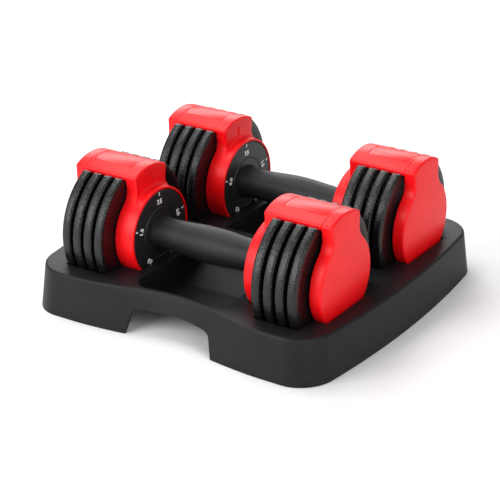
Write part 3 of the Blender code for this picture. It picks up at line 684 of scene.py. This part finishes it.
def outer_cap():
    rim_x = HEAD_END_X - DOME_HEIGHT
    inner = [(CAP_INNER_X, y, z) for y, z in OUTLINE]
    cap = extruded("cap_pattern", inner, (rim_x - CAP_INNER_X, 0, 0))
    edit(cap, faces=on_outer_face)
    bpy.ops.mesh.region_to_loop()
    bpy.ops.mesh.bevel(offset=CAP_ROUNDING, segments=4, affect="EDGES", profile=0.5)
    leave_edit()
    edit(cap, faces=lambda centre, normal: normal.x < -0.99)
    bpy.ops.mesh.region_to_loop()
    bpy.ops.mesh.bevel(offset=SEAM_CHAMFER, segments=1, affect="EDGES")
    leave_edit()
    steps = int(DOME_REACH / GRID_STEP) + 1
    places = [GRID_STEP * i for i in range(-steps, steps + 1)]
    bisect_along(cap, 1, places)
    bisect_along(cap, 2, places)
    for vertex in cap.data.vertices:
        if vertex.co.x > CAP_INNER_X + MM:
            vertex.co.x += domed(vertex.co.y, vertex.co.z)
    smooth(cap, 40)
    paint(cap, RED_ABS)
    return cap


cap = outer_cap()
print("cap has", triangles(cap), "triangles")
on_each_head(cap, "outer_cap", "dumbbell")

# %% [markdown]
# ## Inner housing
#
# This is the largest moulding of a head. Its wall has the casing's outline, a thick ring
# round the dial stands out from it toward the handle, and a bridge reaches from its crown over
# the plates. Where the ring meets the neck the tool had a rounded corner, so there is a soft
# fillet. Wall and bridge are one extrusion, cut away below the bridge. The ring is turned,
# with the fillet in its profile, trimmed to the outline and then joined on.

# %% Wall and bridge
WALL_INNER_X = RING_FACE_X + 9.2 * MM
WALL_OUTER_X = WALL_INNER_X + 11.5 * MM
BRIDGE_END_X = CAP_INNER_X - PART_GAP
BRIDGE_UNDERSIDE = CROWN_APEX - 10.7 * MM
NECK_ROUNDING = 1.8 * MM
BRIDGE_ROUNDING = 1.5 * MM


def under_bridge(a, b):
    """The edges where the wall meets the underside of the bridge."""
    near_wall = min(a.x, b.x) < WALL_OUTER_X + MM and max(a.x, b.x) < BRIDGE_END_X
    return near_wall and min(a.z, b.z) > 0


def wall_and_bridge():
    inner = [(WALL_INNER_X, y, z) for y, z in OUTLINE]
    wall = extruded("housing_pattern", inner, (BRIDGE_END_X - WALL_INNER_X, 0, 0))
    edit(wall, faces=lambda centre, normal: normal.x < -0.99)
    bpy.ops.mesh.region_to_loop()
    bpy.ops.mesh.bevel(offset=NECK_ROUNDING, segments=4, affect="EDGES", profile=0.5)
    leave_edit()
    wide = LOBE_RADIUS + REACH
    high = (BRIDGE_END_X + REACH, wide, BRIDGE_UNDERSIDE)
    below = block("below_bridge", (WALL_OUTER_X, -wide, -wide), high)
    edit(below, edges=under_bridge)
    bpy.ops.mesh.bevel(offset=BRIDGE_ROUNDING, segments=3, affect="EDGES", profile=0.5)
    leave_edit()
    cut(wall, below)
    return wall


housing = wall_and_bridge()
print("wall and bridge:", triangles(housing), "triangles")

# %% Ring round the dial
RING_RADIUS = LOBE_RADIUS - 0.05 * MM
RING_BORE = DIAL_RADIUS + 0.6 * MM
RING_FILLET = 3.0 * MM
RING_RIM = 0.9 * MM
RING_TAIL = 6.0 * MM
RING_STEPS = 120


def dial_ring():
    outer = RING_RADIUS + RING_FILLET
    root = arc((WALL_INNER_X - RING_FILLET, outer), RING_FILLET, -90.0, 0.0, 5)
    front = arc((RING_FACE_X + RING_RIM, RING_RADIUS - RING_RIM), RING_RIM, 180.0, 90.0, 4)
    tail_x = WALL_INNER_X + RING_TAIL
    tail = [(tail_x, outer), (tail_x, RING_BORE)]
    ring = turned("ring", [(RING_FACE_X, RING_BORE)] + front + root + tail, RING_STEPS)
    # A hair larger than the outline, so that no two faces lie in one another.
    scale = (LOBE_RADIUS + 0.03 * MM) / LOBE_RADIUS
    outline = [(RING_FACE_X - REACH, y * scale, z * scale) for y, z in OUTLINE]
    cut(ring, extruded("keep", outline, (3 * REACH, 0, 0)), "INTERSECT")
    return ring


cut(housing, dial_ring(), "UNION")
print("with its ring:", triangles(housing), "triangles")

# %% [markdown]
# The dial turns in a pocket behind the ring, and the acetal bush sits in a hole through the
# wall. Both are bored with a plain cylinder.

# %% Dial pocket and bush hole
POCKET_GAP = 0.6 * MM
pocket_back = DIAL_BACK_X + POCKET_GAP
cut(housing, rod("pocket", RING_BORE, pocket_back - REACH, pocket_back, RING_STEPS))
hole_radius = BUSH_RADIUS + PART_GAP
far = 1.5 * REACH
cut(housing, rod("hole", hole_radius, WALL_INNER_X - far, WALL_INNER_X + far, 64))
print("with pocket and hole:", triangles(housing), "triangles")

# %% [markdown]
# A small raised drop on the neck points down at the number in use. It is drawn as an arc that
# closes in a point, extruded a little way out of the wall, and joined on.

# %% Pointer above the dial
POINTER_TOP = 54.2 * MM
POINTER_TIP = 48.4 * MM
POINTER_RADIUS = 2.8 * MM
POINTER_RISE = 1.0 * MM
POINTER_EDGE = 0.45 * MM


def pointer():
    drop = arc((0, POINTER_TOP), POINTER_RADIUS, -25.0, 205.0, 16) + [(0, POINTER_TIP)]
    front = WALL_INNER_X - POINTER_RISE
    piece = extruded("pointer", [(front, y, z) for y, z in drop], (POINTER_RISE + MM, 0, 0))
    edit(piece, faces=lambda centre, normal: normal.x < -0.99)
    bpy.ops.mesh.region_to_loop()
    bpy.ops.mesh.bevel(offset=POINTER_EDGE, segments=2, affect="EDGES")
    leave_edit()
    return piece


cut(housing, pointer(), "UNION")
print("with its pointer:", triangles(housing), "triangles")

# %% [markdown]
# The crown has a shallow recess for the top panel. The recess and the panel are the same
# curved band, the recess a little larger all round, which leaves the thin dark line that shows
# on the real one.

# %% Panel recess and panel
PANEL_HALF_WIDTH = 12.0 * MM
PANEL_THICKNESS = 1.6 * MM
PANEL_LINE = 0.6 * MM
PANEL_SUNK = 1.0 * MM
PANEL_EDGE = 0.25 * MM


def curved_band(name, margin, top, bottom):
    """A band that follows the crown, from one radius to another, grown by a margin."""
    centre = (0, CROWN_APEX - CROWN_RADIUS)
    half = math.degrees(math.asin((PANEL_HALF_WIDTH + margin) / CROWN_RADIUS))
    outer = arc(centre, top, 90.0 - half, 90.0 + half, 16)
    inner = arc(centre, bottom, 90.0 + half, 90.0 - half, 16)
    start = PANEL_START_X - margin
    push = (PANEL_END_X + margin - start, 0, 0)
    return extruded(name, [(start, y, z) for y, z in outer + inner], push)


recess_bottom = CROWN_RADIUS - PANEL_THICKNESS - PANEL_SUNK
cut(housing, curved_band("recess", PANEL_LINE, CROWN_RADIUS + REACH, recess_bottom))
smooth(housing, 32)
paint(housing, RED_ABS)
print("housing finished with", triangles(housing), "triangles")
on_each_head(housing, "inner_housing", "dumbbell")



def round_the_top(a, b):
    """The edges round the two ends of the panel's upper face."""
    from_centre = math.hypot(a.y, a.z - CROWN_APEX + CROWN_RADIUS)
    return abs(a.x - b.x) < MM and from_centre > CROWN_RADIUS - MM


panel = curved_band("panel_pattern", 0.0, CROWN_RADIUS - 0.1 * MM, CROWN_RADIUS - PANEL_THICKNESS)
edit(panel, edges=round_the_top)
bpy.ops.mesh.bevel(offset=PANEL_EDGE, segments=2, affect="EDGES")
leave_edit()
smooth(panel)
paint(panel, RED_PANEL)
print("panel has", triangles(panel), "triangles")
on_each_head(panel, "top_panel", "dumbbell")

# %% [markdown]
# ## Dial
#
# The dial is a disc with a softened rim. On its face a shallow groove runs round at six tenths
# of its radius and sets off a hub that the grip's end grows out of. The whole section, groove
# and all, is one profile that is turned.

# %% Turn the dial
DIAL_BORE = TUBE_RADIUS + 0.4 * MM
DIAL_RIM = 1.0 * MM
GROOVE_RADIUS = 25.0 * MM
GROOVE_WIDTH = 0.7 * MM
GROOVE_DEPTH = 0.5 * MM


def dial_profile():
    face = DIAL_FACE_X
    outer = arc((face + DIAL_RIM, DIAL_RADIUS - DIAL_RIM), DIAL_RIM, 180.0, 90.0, 4)
    groove = [
        (face, GROOVE_RADIUS - GROOVE_WIDTH),
        (face + GROOVE_DEPTH, GROOVE_RADIUS - GROOVE_WIDTH / 3),
        (face + GROOVE_DEPTH, GROOVE_RADIUS + GROOVE_WIDTH / 3),
        (face, GROOVE_RADIUS + GROOVE_WIDTH),
    ]
    back = [(DIAL_BACK_X, DIAL_RADIUS), (DIAL_BACK_X, DIAL_BORE)]
    return [(face, DIAL_BORE)] + groove + outer + back


dial = turned("dial_pattern", dial_profile(), 120)
smooth(dial, 30)
paint(dial, DIAL_BLACK)
print("dial has", triangles(dial), "triangles")
on_each_head(dial, "dial", "handle")

# %% [markdown]
# ## Numbers and ticks
#
# Five weights stand round the dial, 72 degrees apart, each with a tick at the rim. Their tops
# point outward. They are printed, so they are letters of hardly any thickness that lie on the
# face. At rest both dials of a dumbbell show the largest weight at the top, and because the
# handle is turned end for end, the others run the other way round on its far end.

# %% Print the numbers on one dial
WEIGHTS = ["7.5", "6.0", "4.5", "3.0", "1.5"]
NUMBER_SIZE = 6.2 * MM
NUMBER_RADIUS = 30.6 * MM
INK = 0.06 * MM
STROKE_GROWTH = 0.3 * MM
DIAL_STEP = math.radians(72.0)
TICK_LENGTH = 3.6 * MM
TICK_WIDTH = 1.2 * MM
TICK_TOP = DIAL_RADIUS - 1.1 * MM


def flat_number(words):
    """A number of hardly any thickness, centred on the origin in the XY plane."""
    bpy.ops.object.select_all(action="DESELECT")
    bpy.ops.object.text_add()
    letters = bpy.context.object
    letters.data.body = words
    letters.data.size = NUMBER_SIZE
    letters.data.align_x = "CENTER"
    letters.data.align_y = "CENTER"
    letters.data.extrude = INK / 2
    letters.data.offset = STROKE_GROWTH
    letters.data.resolution_u = 3
    bpy.ops.object.convert(target="MESH")
    number = bpy.context.object
    edit(number, points=everything)
    bpy.ops.mesh.remove_doubles(threshold=0.002 * MM)
    leave_edit()
    return number


def printed_marks(name, direction):
    """All numbers and ticks of a dial whose face looks along -X, running round in a direction."""
    marks = []
    for step, words in enumerate(WEIGHTS):
        number = flat_number(words)
        number.data.transform(Matrix.Translation((0, NUMBER_RADIUS, 0)))
        tick_low = (-TICK_WIDTH / 2, TICK_TOP - TICK_LENGTH, -INK / 2)
        tick = block("tick", tick_low, (TICK_WIDTH / 2, TICK_TOP, INK / 2))
        for mark in (number, tick):
            mark.data.transform(Matrix.Rotation(-direction * step * DIAL_STEP, 4, "Z"))
            marks.append(mark)
    only(*marks)
    bpy.ops.object.join()
    joined = bpy.context.object
    joined.name = name
    # Its columns say where the reading direction, up and the face's outside point: the face
    # of a head on the +X side looks back toward the handle.
    stand = Matrix(((0, 0, -1, DIAL_FACE_X), (-1, 0, 0, 0), (0, 1, 0, 0), (0, 0, 0, 1)))
    joined.data.transform(stand)
    paint(joined, WHITE_INK)
    return joined


# %% Place the marks on the four dials
for head, (dumbbell, place, turn) in HEADS.items():
    turned_left = math.cos(turn) < 0
    first = turned_left if dumbbell == "front" else not turned_left
    marks = printed_marks("marks_pattern", 1 if first else -1)
    placed(marks, head + "_dial_marks", place, turn, dumbbell + "_handle")
    print(head, "marks:", triangles(marks), "triangles")
    bpy.data.objects.remove(marks)

# %% [markdown]
# ## Grip
#
# The grip is a rubber sleeve moulded over the tube. It swells to a barrel in the middle so
# that it fills the hand, narrows near its ends, and flares where it meets the dial. It is
# turned from a smooth curve with a rounded lip at both ends.

# %% Turn the grip
GRIP_WAIST = 15.2 * MM
GRIP_SWELL = 2.4 * MM
GRIP_FLARE = 2.0 * MM
BARREL_REACH = 0.80
GRIP_RINGS = 30


def grip_radius(share):
    """The radius from the middle (0) to the end (1)."""
    if share < BARREL_REACH:
        return GRIP_WAIST + GRIP_SWELL * math.cos(math.pi / 2 * share / BARREL_REACH) ** 2
    return GRIP_WAIST + GRIP_FLARE * ((share - BARREL_REACH) / (1 - BARREL_REACH)) ** 2


def grip_profile():
    bore = TUBE_RADIUS + 0.3 * MM
    shares = [i / GRIP_RINGS for i in range(-GRIP_RINGS, GRIP_RINGS + 1)]
    outer = [(GRIP_END_X * share, grip_radius(abs(share))) for share in shares]
    return outer + [(GRIP_END_X, bore), (-GRIP_END_X, bore)]


grip = turned("grip_pattern", grip_profile(), 96)
smooth(grip, 35)
paint(grip, GRIP_RUBBER)
print("grip has", triangles(grip), "triangles")
for dumbbell, (place, turn) in DUMBBELLS.items():
    name = dumbbell + "_grip_sleeve"
    placed(grip, name + "_fine", place, turn, dumbbell + "_handle", name)
bpy.data.objects.remove(grip)

# %% [markdown]
# ## Tray
#
# The tray is one thin-walled moulding: a low tub with sides that lean inward, rounded corners,
# bowed ends and a waist at front and back. Seen from above each height has its own outline,
# so the shell is built like a stack: a ring of points is filled, extruded, and each new ring is
# drawn to the outline of its height. The last few rings follow the rounded top edge.

# %% Outline of the tray at any height
TRAY_HALF_X = TRAY_HIGH.x
TRAY_HALF_Y = TRAY_HIGH.y
TRAY_HEIGHT = TRAY_HIGH.z
TRAY_BOW = 13.0 * MM
TRAY_CORNER = 31.0 * MM
TRAY_DRAFT = 4.0 * MM
TRAY_WAIST = (9.0 * MM, 16.5 * MM)
WAIST_HALF_WIDTH = 118.0 * MM
TRAY_WALL = 3.0 * MM
TOP_ROUNDING = 2.2 * MM


def waist(x, depth):
    if abs(x) >= WAIST_HALF_WIDTH:
        return 0.0
    return depth * math.cos(math.pi * x / (2 * WAIST_HALF_WIDTH)) ** 2


def tray_outline(height, inset, corner_steps=14, side_steps=56):
    """The outline at one height, drawn in by an inset, as (x, y, z) points."""
    share = height / TRAY_HEIGHT
    half_x = TRAY_HALF_X - TRAY_DRAFT * share - inset
    half_y = TRAY_HALF_Y - TRAY_DRAFT * share - inset
    depth = TRAY_WAIST[0] + (TRAY_WAIST[1] - TRAY_WAIST[0]) * share
    radius = TRAY_CORNER - inset
    flat_x, flat_y = half_x - radius, half_y - radius
    quarter = arc((flat_x, flat_y), radius, 0.0, 90.0, corner_steps)
    end = [(half_x, flat_y * (2 * i / 12 - 1)) for i in range(1, 12)]
    side = [(flat_x * (1 - 2 * i / side_steps), half_y) for i in range(1, side_steps)]
    half = end + quarter + side + [(-x, y) for x, y in reversed(quarter)]
    around = half + [(-x, -y) for x, y in half]
    points = []
    for x, y in around:
        bow = TRAY_BOW * (y / half_y) ** 2 * x / half_x
        points.append(Vector((x - bow, y - waist(x, depth) * y / half_y, height)))
    return points


print("points round the tray:", len(tray_outline(0.0, 0.0)))

# %% Stack the shell


def stacked(name, rings):
    """A closed body through rings of matching points, each ring extruded from the last."""
    piece = ring_of_points(name, rings[0])
    edit(piece, points=everything)
    bpy.ops.mesh.edge_face_add()
    leave_edit()
    for ring, following in zip(rings, rings[1:]):
        bpy.context.view_layer.objects.active = piece
        bpy.ops.object.mode_set(mode="EDIT")
        bpy.ops.mesh.extrude_region()
        leave_edit()
        for vertex in piece.data.vertices:
            if vertex.select:
                nearest = min(range(len(ring)), key=lambda i: (ring[i] - vertex.co).length_squared)
                vertex.co = following[nearest]
    turn_outwards(piece)
    return piece


def tray_rings():
    straight = TRAY_HEIGHT - TOP_ROUNDING
    rings = [tray_outline(straight * i / 6, 0.0) for i in range(7)]
    for i in range(1, 7):
        angle = math.radians(15.0 * i)
        height = straight + TOP_ROUNDING * math.sin(angle)
        rings.append(tray_outline(height, TOP_ROUNDING * (1 - math.cos(angle))))
    return rings


tray = stacked("tray_fine", tray_rings())
print("tray shell:", triangles(tray), "triangles")

# %% [markdown]
# Each head sits in a bed: a round cradle for the red casing, a wider trough for the plates,
# and a narrow slot for each plate. One cutter is built from discs for a head, and is used four
# times. The trough is a hair wider than the slots, so that above the dividers a slot leaves no
# sliver of its own. The same shapes, grown by the wall's thickness, are kept out of the hollow
# underneath, so that the beds have floors of an even wall.

# %% Cutter for one bed
CRADLE_GAP = 1.0 * MM
SLOT_GAP = 0.45 * MM
DIVIDER_TOP = 24.0 * MM
TROUGH_LEDGE = 0.2 * MM


def disc(name, radius, start, stop, steps):
    angles = [2 * math.pi * i / steps for i in range(steps)]
    circle = [(start, radius * math.cos(a), radius * math.sin(a)) for a in angles]
    return extruded(name, circle, (stop - start, 0, 0))


def bed_cutter(gap, steps):
    cradle = LOBE_RADIUS + CRADLE_GAP + gap
    trough = PLATE_RADIUS + CRADLE_GAP + gap
    bed = disc("bed", cradle, RING_FACE_X - CRADLE_GAP - gap, HEAD_END_X + CRADLE_GAP + gap, steps)
    start = WALL_OUTER_X - PART_GAP - gap
    stop = CAP_INNER_X - PART_GAP + gap
    if gap:
        cut(bed, disc("trough", trough, start, stop, steps), "UNION")
        return bed
    wide = trough + TROUGH_LEDGE
    foot = math.degrees(math.asin((DIVIDER_TOP - AXIS_FRONT.z) / wide))
    outline = [(start, y, z) for y, z in arc((0, 0), wide, foot, 180.0 - foot, steps)]
    cut(bed, extruded("trough", outline, (stop - start, 0, 0)), "UNION")
    for x in PLATE_STARTS:
        slot = disc("slot", trough, x - SLOT_GAP, x + PLATE_THICKNESS + SLOT_GAP, steps)
        cut(bed, slot, "UNION")
    return bed


def copies_of(pattern, places):
    """Yields a copy of a cutter at each (place, turn)."""
    for place, turn in places:
        copy = bpy.data.objects.new(pattern.name + "_copy", pattern.data.copy())
        copy.data.transform(Matrix.Translation(place) @ Matrix.Rotation(turn, 4, "Z"))
        bpy.context.scene.collection.objects.link(copy)
        yield copy


HEAD_PLACES = [(place, turn) for _, place, turn in HEADS.values()]
TWO_SIDES = [(Vector(), 0.0), (Vector(), math.pi)]
bed = bed_cutter(0.0, 96)
for cutter in copies_of(bed, HEAD_PLACES):
    cut(tray, cutter)
bpy.data.objects.remove(bed)
print("tray with beds:", triangles(tray), "triangles")

# %% [markdown]
# Under each handle is a well for the fingers. Seen from the side it has a steep back, a low
# middle and a long rise to the front. Its plan has rounded front corners and follows the
# tray's waist. The side shape and the plan are both extruded, and what they share is the well.

# %% Cutter for one well
WELL_HALF_WIDTH = 50.0 * MM
WELL_CORNER = 15.0 * MM
WELL_RIM = 5.0 * MM
WELL_BACK_Y = -17.0 * MM
WELL_FLOOR = 13.0 * MM
WELL_LOW_HALF = 17.0 * MM  # half the length of the low middle, under the handle
WELL_LIP = 30.5 * MM  # the height of the well's front end
WELL_LIP_LENGTH = 30.0 * MM
WELL_EASING = 4.0 * MM


def eased(points, reach, steps=4):
    """Rounds each corner of a chain of lines, starting the curve this far before it."""
    line = [Vector(point) for point in points]
    rounded = [line[0]]
    for before, corner, after in zip(line, line[1:], line[2:]):
        start = corner + (before - corner).normalized() * reach
        stop = corner + (after - corner).normalized() * reach
        for i in range(steps + 1):
            t = i / steps
            rounded.append(start * (1 - t) ** 2 + corner * 2 * t * (1 - t) + stop * t**2)
    return [tuple(point) for point in rounded + [line[-1]]]


def well_cutter(gap, reach):
    back_y = WELL_BACK_Y + gap
    floor = WELL_FLOOR - gap
    low_y = AXIS_FRONT.y + WELL_LOW_HALF
    rise = TRAY_HEIGHT - WELL_FLOOR
    bend_y = low_y + 0.68 * (back_y - low_y)
    # From the front lip down to the low middle, and then up the back in two bends.
    scoop = [
        (-TRAY_HALF_Y, WELL_LIP - gap),
        (-TRAY_HALF_Y + WELL_LIP_LENGTH, WELL_LIP - gap),
        (AXIS_FRONT.y - WELL_LOW_HALF, floor + 5 * MM),
        (low_y, floor),
        (bend_y, floor + 0.4 * rise),
        (back_y - 4 * MM, floor + 0.72 * rise),
        (back_y, TRAY_HEIGHT),
    ]
    high = TRAY_HEIGHT + REACH
    side = [(-TRAY_HALF_Y, high)] + eased(scoop, reach) + [(back_y, high)]
    half = WELL_HALF_WIDTH + gap
    well = extruded("well", [(-half, y, z) for y, z in side], (2 * half, 0, 0))
    radius = WELL_CORNER + gap
    edge = TRAY_HALF_Y - TRAY_DRAFT - WELL_RIM + gap
    xs = [(half - radius) * i / 12 for i in range(-12, 13)]
    front = [(x, -edge + waist(x, TRAY_WAIST[1])) for x in xs]
    end_y = front[0][1] + radius
    plan = arc((radius - half, end_y), radius, 180.0, 270.0, 10)[:-1] + front
    plan += arc((half - radius, end_y), radius, -90.0, 0.0, 10)[1:]
    plan += [(half, back_y + REACH), (-half, back_y + REACH)]
    ground = [(x, y, -REACH) for x, y in plan]
    cut(well, extruded("plan", ground, (0, 0, high + 2 * REACH)), "INTERSECT")
    return well


well = well_cutter(0.0, WELL_EASING)
for cutter in copies_of(well, TWO_SIDES):
    cut(tray, cutter)
bpy.data.objects.remove(well)
print("tray with wells:", triangles(tray), "triangles")

# %% [markdown]
# A notch through the front wall lets a hand reach under the tray to lift it. It is wider at
# the floor and its top is a flat arch.

# %% Cut the hand notches
HAND_HALF_WIDTH = 44.0 * MM
HAND_FLARE = 5.0 * MM
HAND_HEIGHT = 26.5 * MM
HAND_ARCH = 3.0 * MM
HAND_CORNER = 6.0 * MM


def notch_cutter():
    shoulder = HAND_HEIGHT - HAND_ARCH
    turn_centre = (HAND_HALF_WIDTH - HAND_CORNER, shoulder - HAND_CORNER)
    corner = arc(turn_centre, HAND_CORNER, 8.0, 84.0, 8)
    top = []
    for i in range(2, 12):
        share = 1 - i / 12
        lift = HAND_ARCH * math.cos(math.pi / 2 * share)
        top.append((HAND_HALF_WIDTH * share, shoulder + lift))
    half = [(HAND_HALF_WIDTH + HAND_FLARE * (1 + REACH / shoulder), -REACH)] + corner + top
    outline = half + [(0.0, HAND_HEIGHT)] + [(-x, z) for x, z in reversed(half)]
    start = -TRAY_HALF_Y - REACH
    stop = -TRAY_HALF_Y + TRAY_WAIST[1] + 2 * TRAY_WALL
    return extruded("notch", [(x, start, z) for x, z in outline], (0, stop - start, 0))


notch = notch_cutter()
for cutter in copies_of(notch, TWO_SIDES):
    cut(tray, cutter)
bpy.data.objects.remove(notch)
print("tray with notches:", triangles(tray), "triangles")

# %% [markdown]
# The mould's core makes the tray hollow from below. The core is the shell drawn in by the
# wall, less the beds and wells, each grown by the wall too.

# %% Hollow the underside
core_top = TRAY_HEIGHT - TRAY_WALL
core = stacked("core", [tray_outline(-REACH, TRAY_WALL), tray_outline(core_top, TRAY_WALL)])
bed = bed_cutter(TRAY_WALL, 48)
for cutter in copies_of(bed, HEAD_PLACES):
    cut(core, cutter)
bpy.data.objects.remove(bed)
well = well_cutter(TRAY_WALL, WELL_EASING - MM)
for cutter in copies_of(well, TWO_SIDES):
    cut(core, cutter)
bpy.data.objects.remove(well)
cut(tray, core)
print("hollow tray:", triangles(tray), "triangles")

# %% [markdown]
# Moulded edges are never sharp. The sharp edges along the top of the beds and wells, and those
# round the notch, are picked by their angle and place, and rounded with a bevel. So many cuts
# leave points that all but coincide, so these are merged first, and the slivers that are left
# are dissolved at the end.

# %% Round the rims
TOP_EDGE = 1.0 * MM
HAND_EDGE = 1.3 * MM
MERGE = 0.01 * MM
SLIVER = 0.002 * MM


def on_top(a, b):
    return min(a.z, b.z) > TRAY_HEIGHT - 0.05 * MM


def round_hand_notch(a, b):
    """Edges where the notch meets the outer face of the front or back wall."""
    for point in (a, b):
        share = point.z / TRAY_HEIGHT
        depth = TRAY_WAIST[0] + (TRAY_WAIST[1] - TRAY_WAIST[0]) * share
        face = TRAY_HALF_Y - TRAY_DRAFT * share - waist(point.x, depth)
        beside = abs(point.x) > HAND_HALF_WIDTH + 16 * MM
        if beside or abs(abs(point.y) - face) > 0.6 * MM or point.z < -MM:
            return False
    return max(a.z, b.z) > 0.5 * MM and max(a.z, b.z) < HAND_HEIGHT + MM


edit(tray, points=everything)
bpy.ops.mesh.remove_doubles(threshold=MERGE)
leave_edit()
bevel_sharp(tray, on_top, TOP_EDGE, 3)
bevel_sharp(tray, round_hand_notch, HAND_EDGE, 3)
edit(tray, points=everything)
bpy.ops.mesh.dissolve_degenerate(threshold=SLIVER)
leave_edit()
smooth(tray, 35)
paint(tray, TRAY_PLASTIC)
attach(tray, "base")
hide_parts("tray")
print("tray finished with", triangles(tray), "triangles")

# %% [markdown]
# ## Studio
#
# The object stands on a plain pale floor that reaches far past it on all sides. It could be
# lit by one lamp, but then its black parts would have no shape, because a dark
# surface shows only what it mirrors. So four softboxes stand round it. One behind draws a
# light line along the crowns, a large one in front and a smaller one at the right fill the
# faces that look that way, and a weak one overhead lays a soft band along the grips. A pale
# room fills the rest.

# %% Floor
bpy.ops.object.select_all(action="DESELECT")
bpy.ops.mesh.primitive_plane_add(size=12, location=(0, 0, -0.0005))
floor = bpy.context.object
floor.name = "studio_floor"
paper = bpy.data.materials.new("pale_paper")
paper.use_nodes = True
paper_shader = paper.node_tree.nodes["Principled BSDF"]
paper_shader.inputs["Base Color"].default_value = (0.9, 0.9, 0.9, 1)
paper_shader.inputs["Roughness"].default_value = 0.9
floor.data.materials.append(paper)
floor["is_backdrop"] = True
print("floor at", floor.location.z)


# %% Lights
AIM = (0, 0, 0.05)


def softbox(name, place, size, power):
    """A rectangular area light, turned to look at the object's middle."""
    light = bpy.data.lights.new(name, "AREA")
    light.shape = "RECTANGLE"
    light.size, light.size_y = size
    light.energy = power
    lamp = bpy.data.objects.new(name, light)
    lamp.location = place
    lamp.rotation_euler = (Vector(AIM) - Vector(place)).to_track_quat("-Z", "Y").to_euler()
    bpy.context.scene.collection.objects.link(lamp)
    print(name, "at", place, "with", power, "W")


softbox("rear_softbox", (-0.9, 1.3, 0.85), (1.4, 0.7), 15)
softbox("front_fill", (-0.7, -1.65, 0.9), (1.4, 1.2), 31)
softbox("right_fill", (1.6, -0.9, 1.0), (1.2, 1.2), 17)
softbox("overhead_softbox", (-0.5, 0.05, 1.15), (0.9, 0.5), 7)

world = bpy.data.worlds.new("pale_room")
bpy.context.scene.world = world
world.use_nodes = True
room = world.node_tree.nodes["Background"]
room.inputs["Color"].default_value = (1, 1, 1, 1)
room.inputs["Strength"].default_value = 0.4
print("room strength:", room.inputs["Strength"].default_value)

# %% [markdown]
# Blender shows a scene through a view transform. Its usual one, AgX, rolls bright colours off
# toward white, as film does, and can't show a red as strong as this plastic's. Standard shows
# each colour as it is worked out, so it is chosen here, and the lights are kept low enough
# that the red faces still shade from one to the next.

# %% How the colours are shown
bpy.context.scene.view_settings.view_transform = "Standard"
print("view transform:", bpy.context.scene.view_settings.view_transform)

# %% [markdown]
# ## Camera
#
# The camera stands to the right and a little above, a long lens well back, so that parallel
# edges stay nearly parallel.

# %% Camera
AZIMUTH = math.radians(33.684)
ELEVATION = math.radians(24.527)
ROLL = math.radians(-0.513)
CAMERA_PLACE = Vector((0.8542, -1.2964, 0.7465))
LENS = 125.4

level_share = math.cos(ELEVATION)
back = Vector(
    (math.sin(AZIMUTH) * level_share, -math.cos(AZIMUTH) * level_share, math.sin(ELEVATION))
)
level = Vector((0, 0, 1)).cross(back).normalized()
rise = back.cross(level)
right = math.cos(ROLL) * level + math.sin(ROLL) * rise
up = math.cos(ROLL) * rise - math.sin(ROLL) * level

camera = bpy.data.objects.new("camera", bpy.data.cameras.new("camera"))
camera.data.lens = LENS
camera.data.sensor_width = 36
camera.matrix_world = Matrix((right, up, back)).transposed().to_4x4()
camera.location = CAMERA_PLACE
bpy.context.scene.collection.objects.link(camera)
bpy.context.scene.camera = camera
print("camera at", CAMERA_PLACE[:], "with a lens of", LENS, "mm")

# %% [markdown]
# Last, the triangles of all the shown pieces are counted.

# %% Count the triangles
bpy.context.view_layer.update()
total = sum(triangles(piece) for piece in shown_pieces() if piece.type == "MESH")
print("triangles in all:", total)
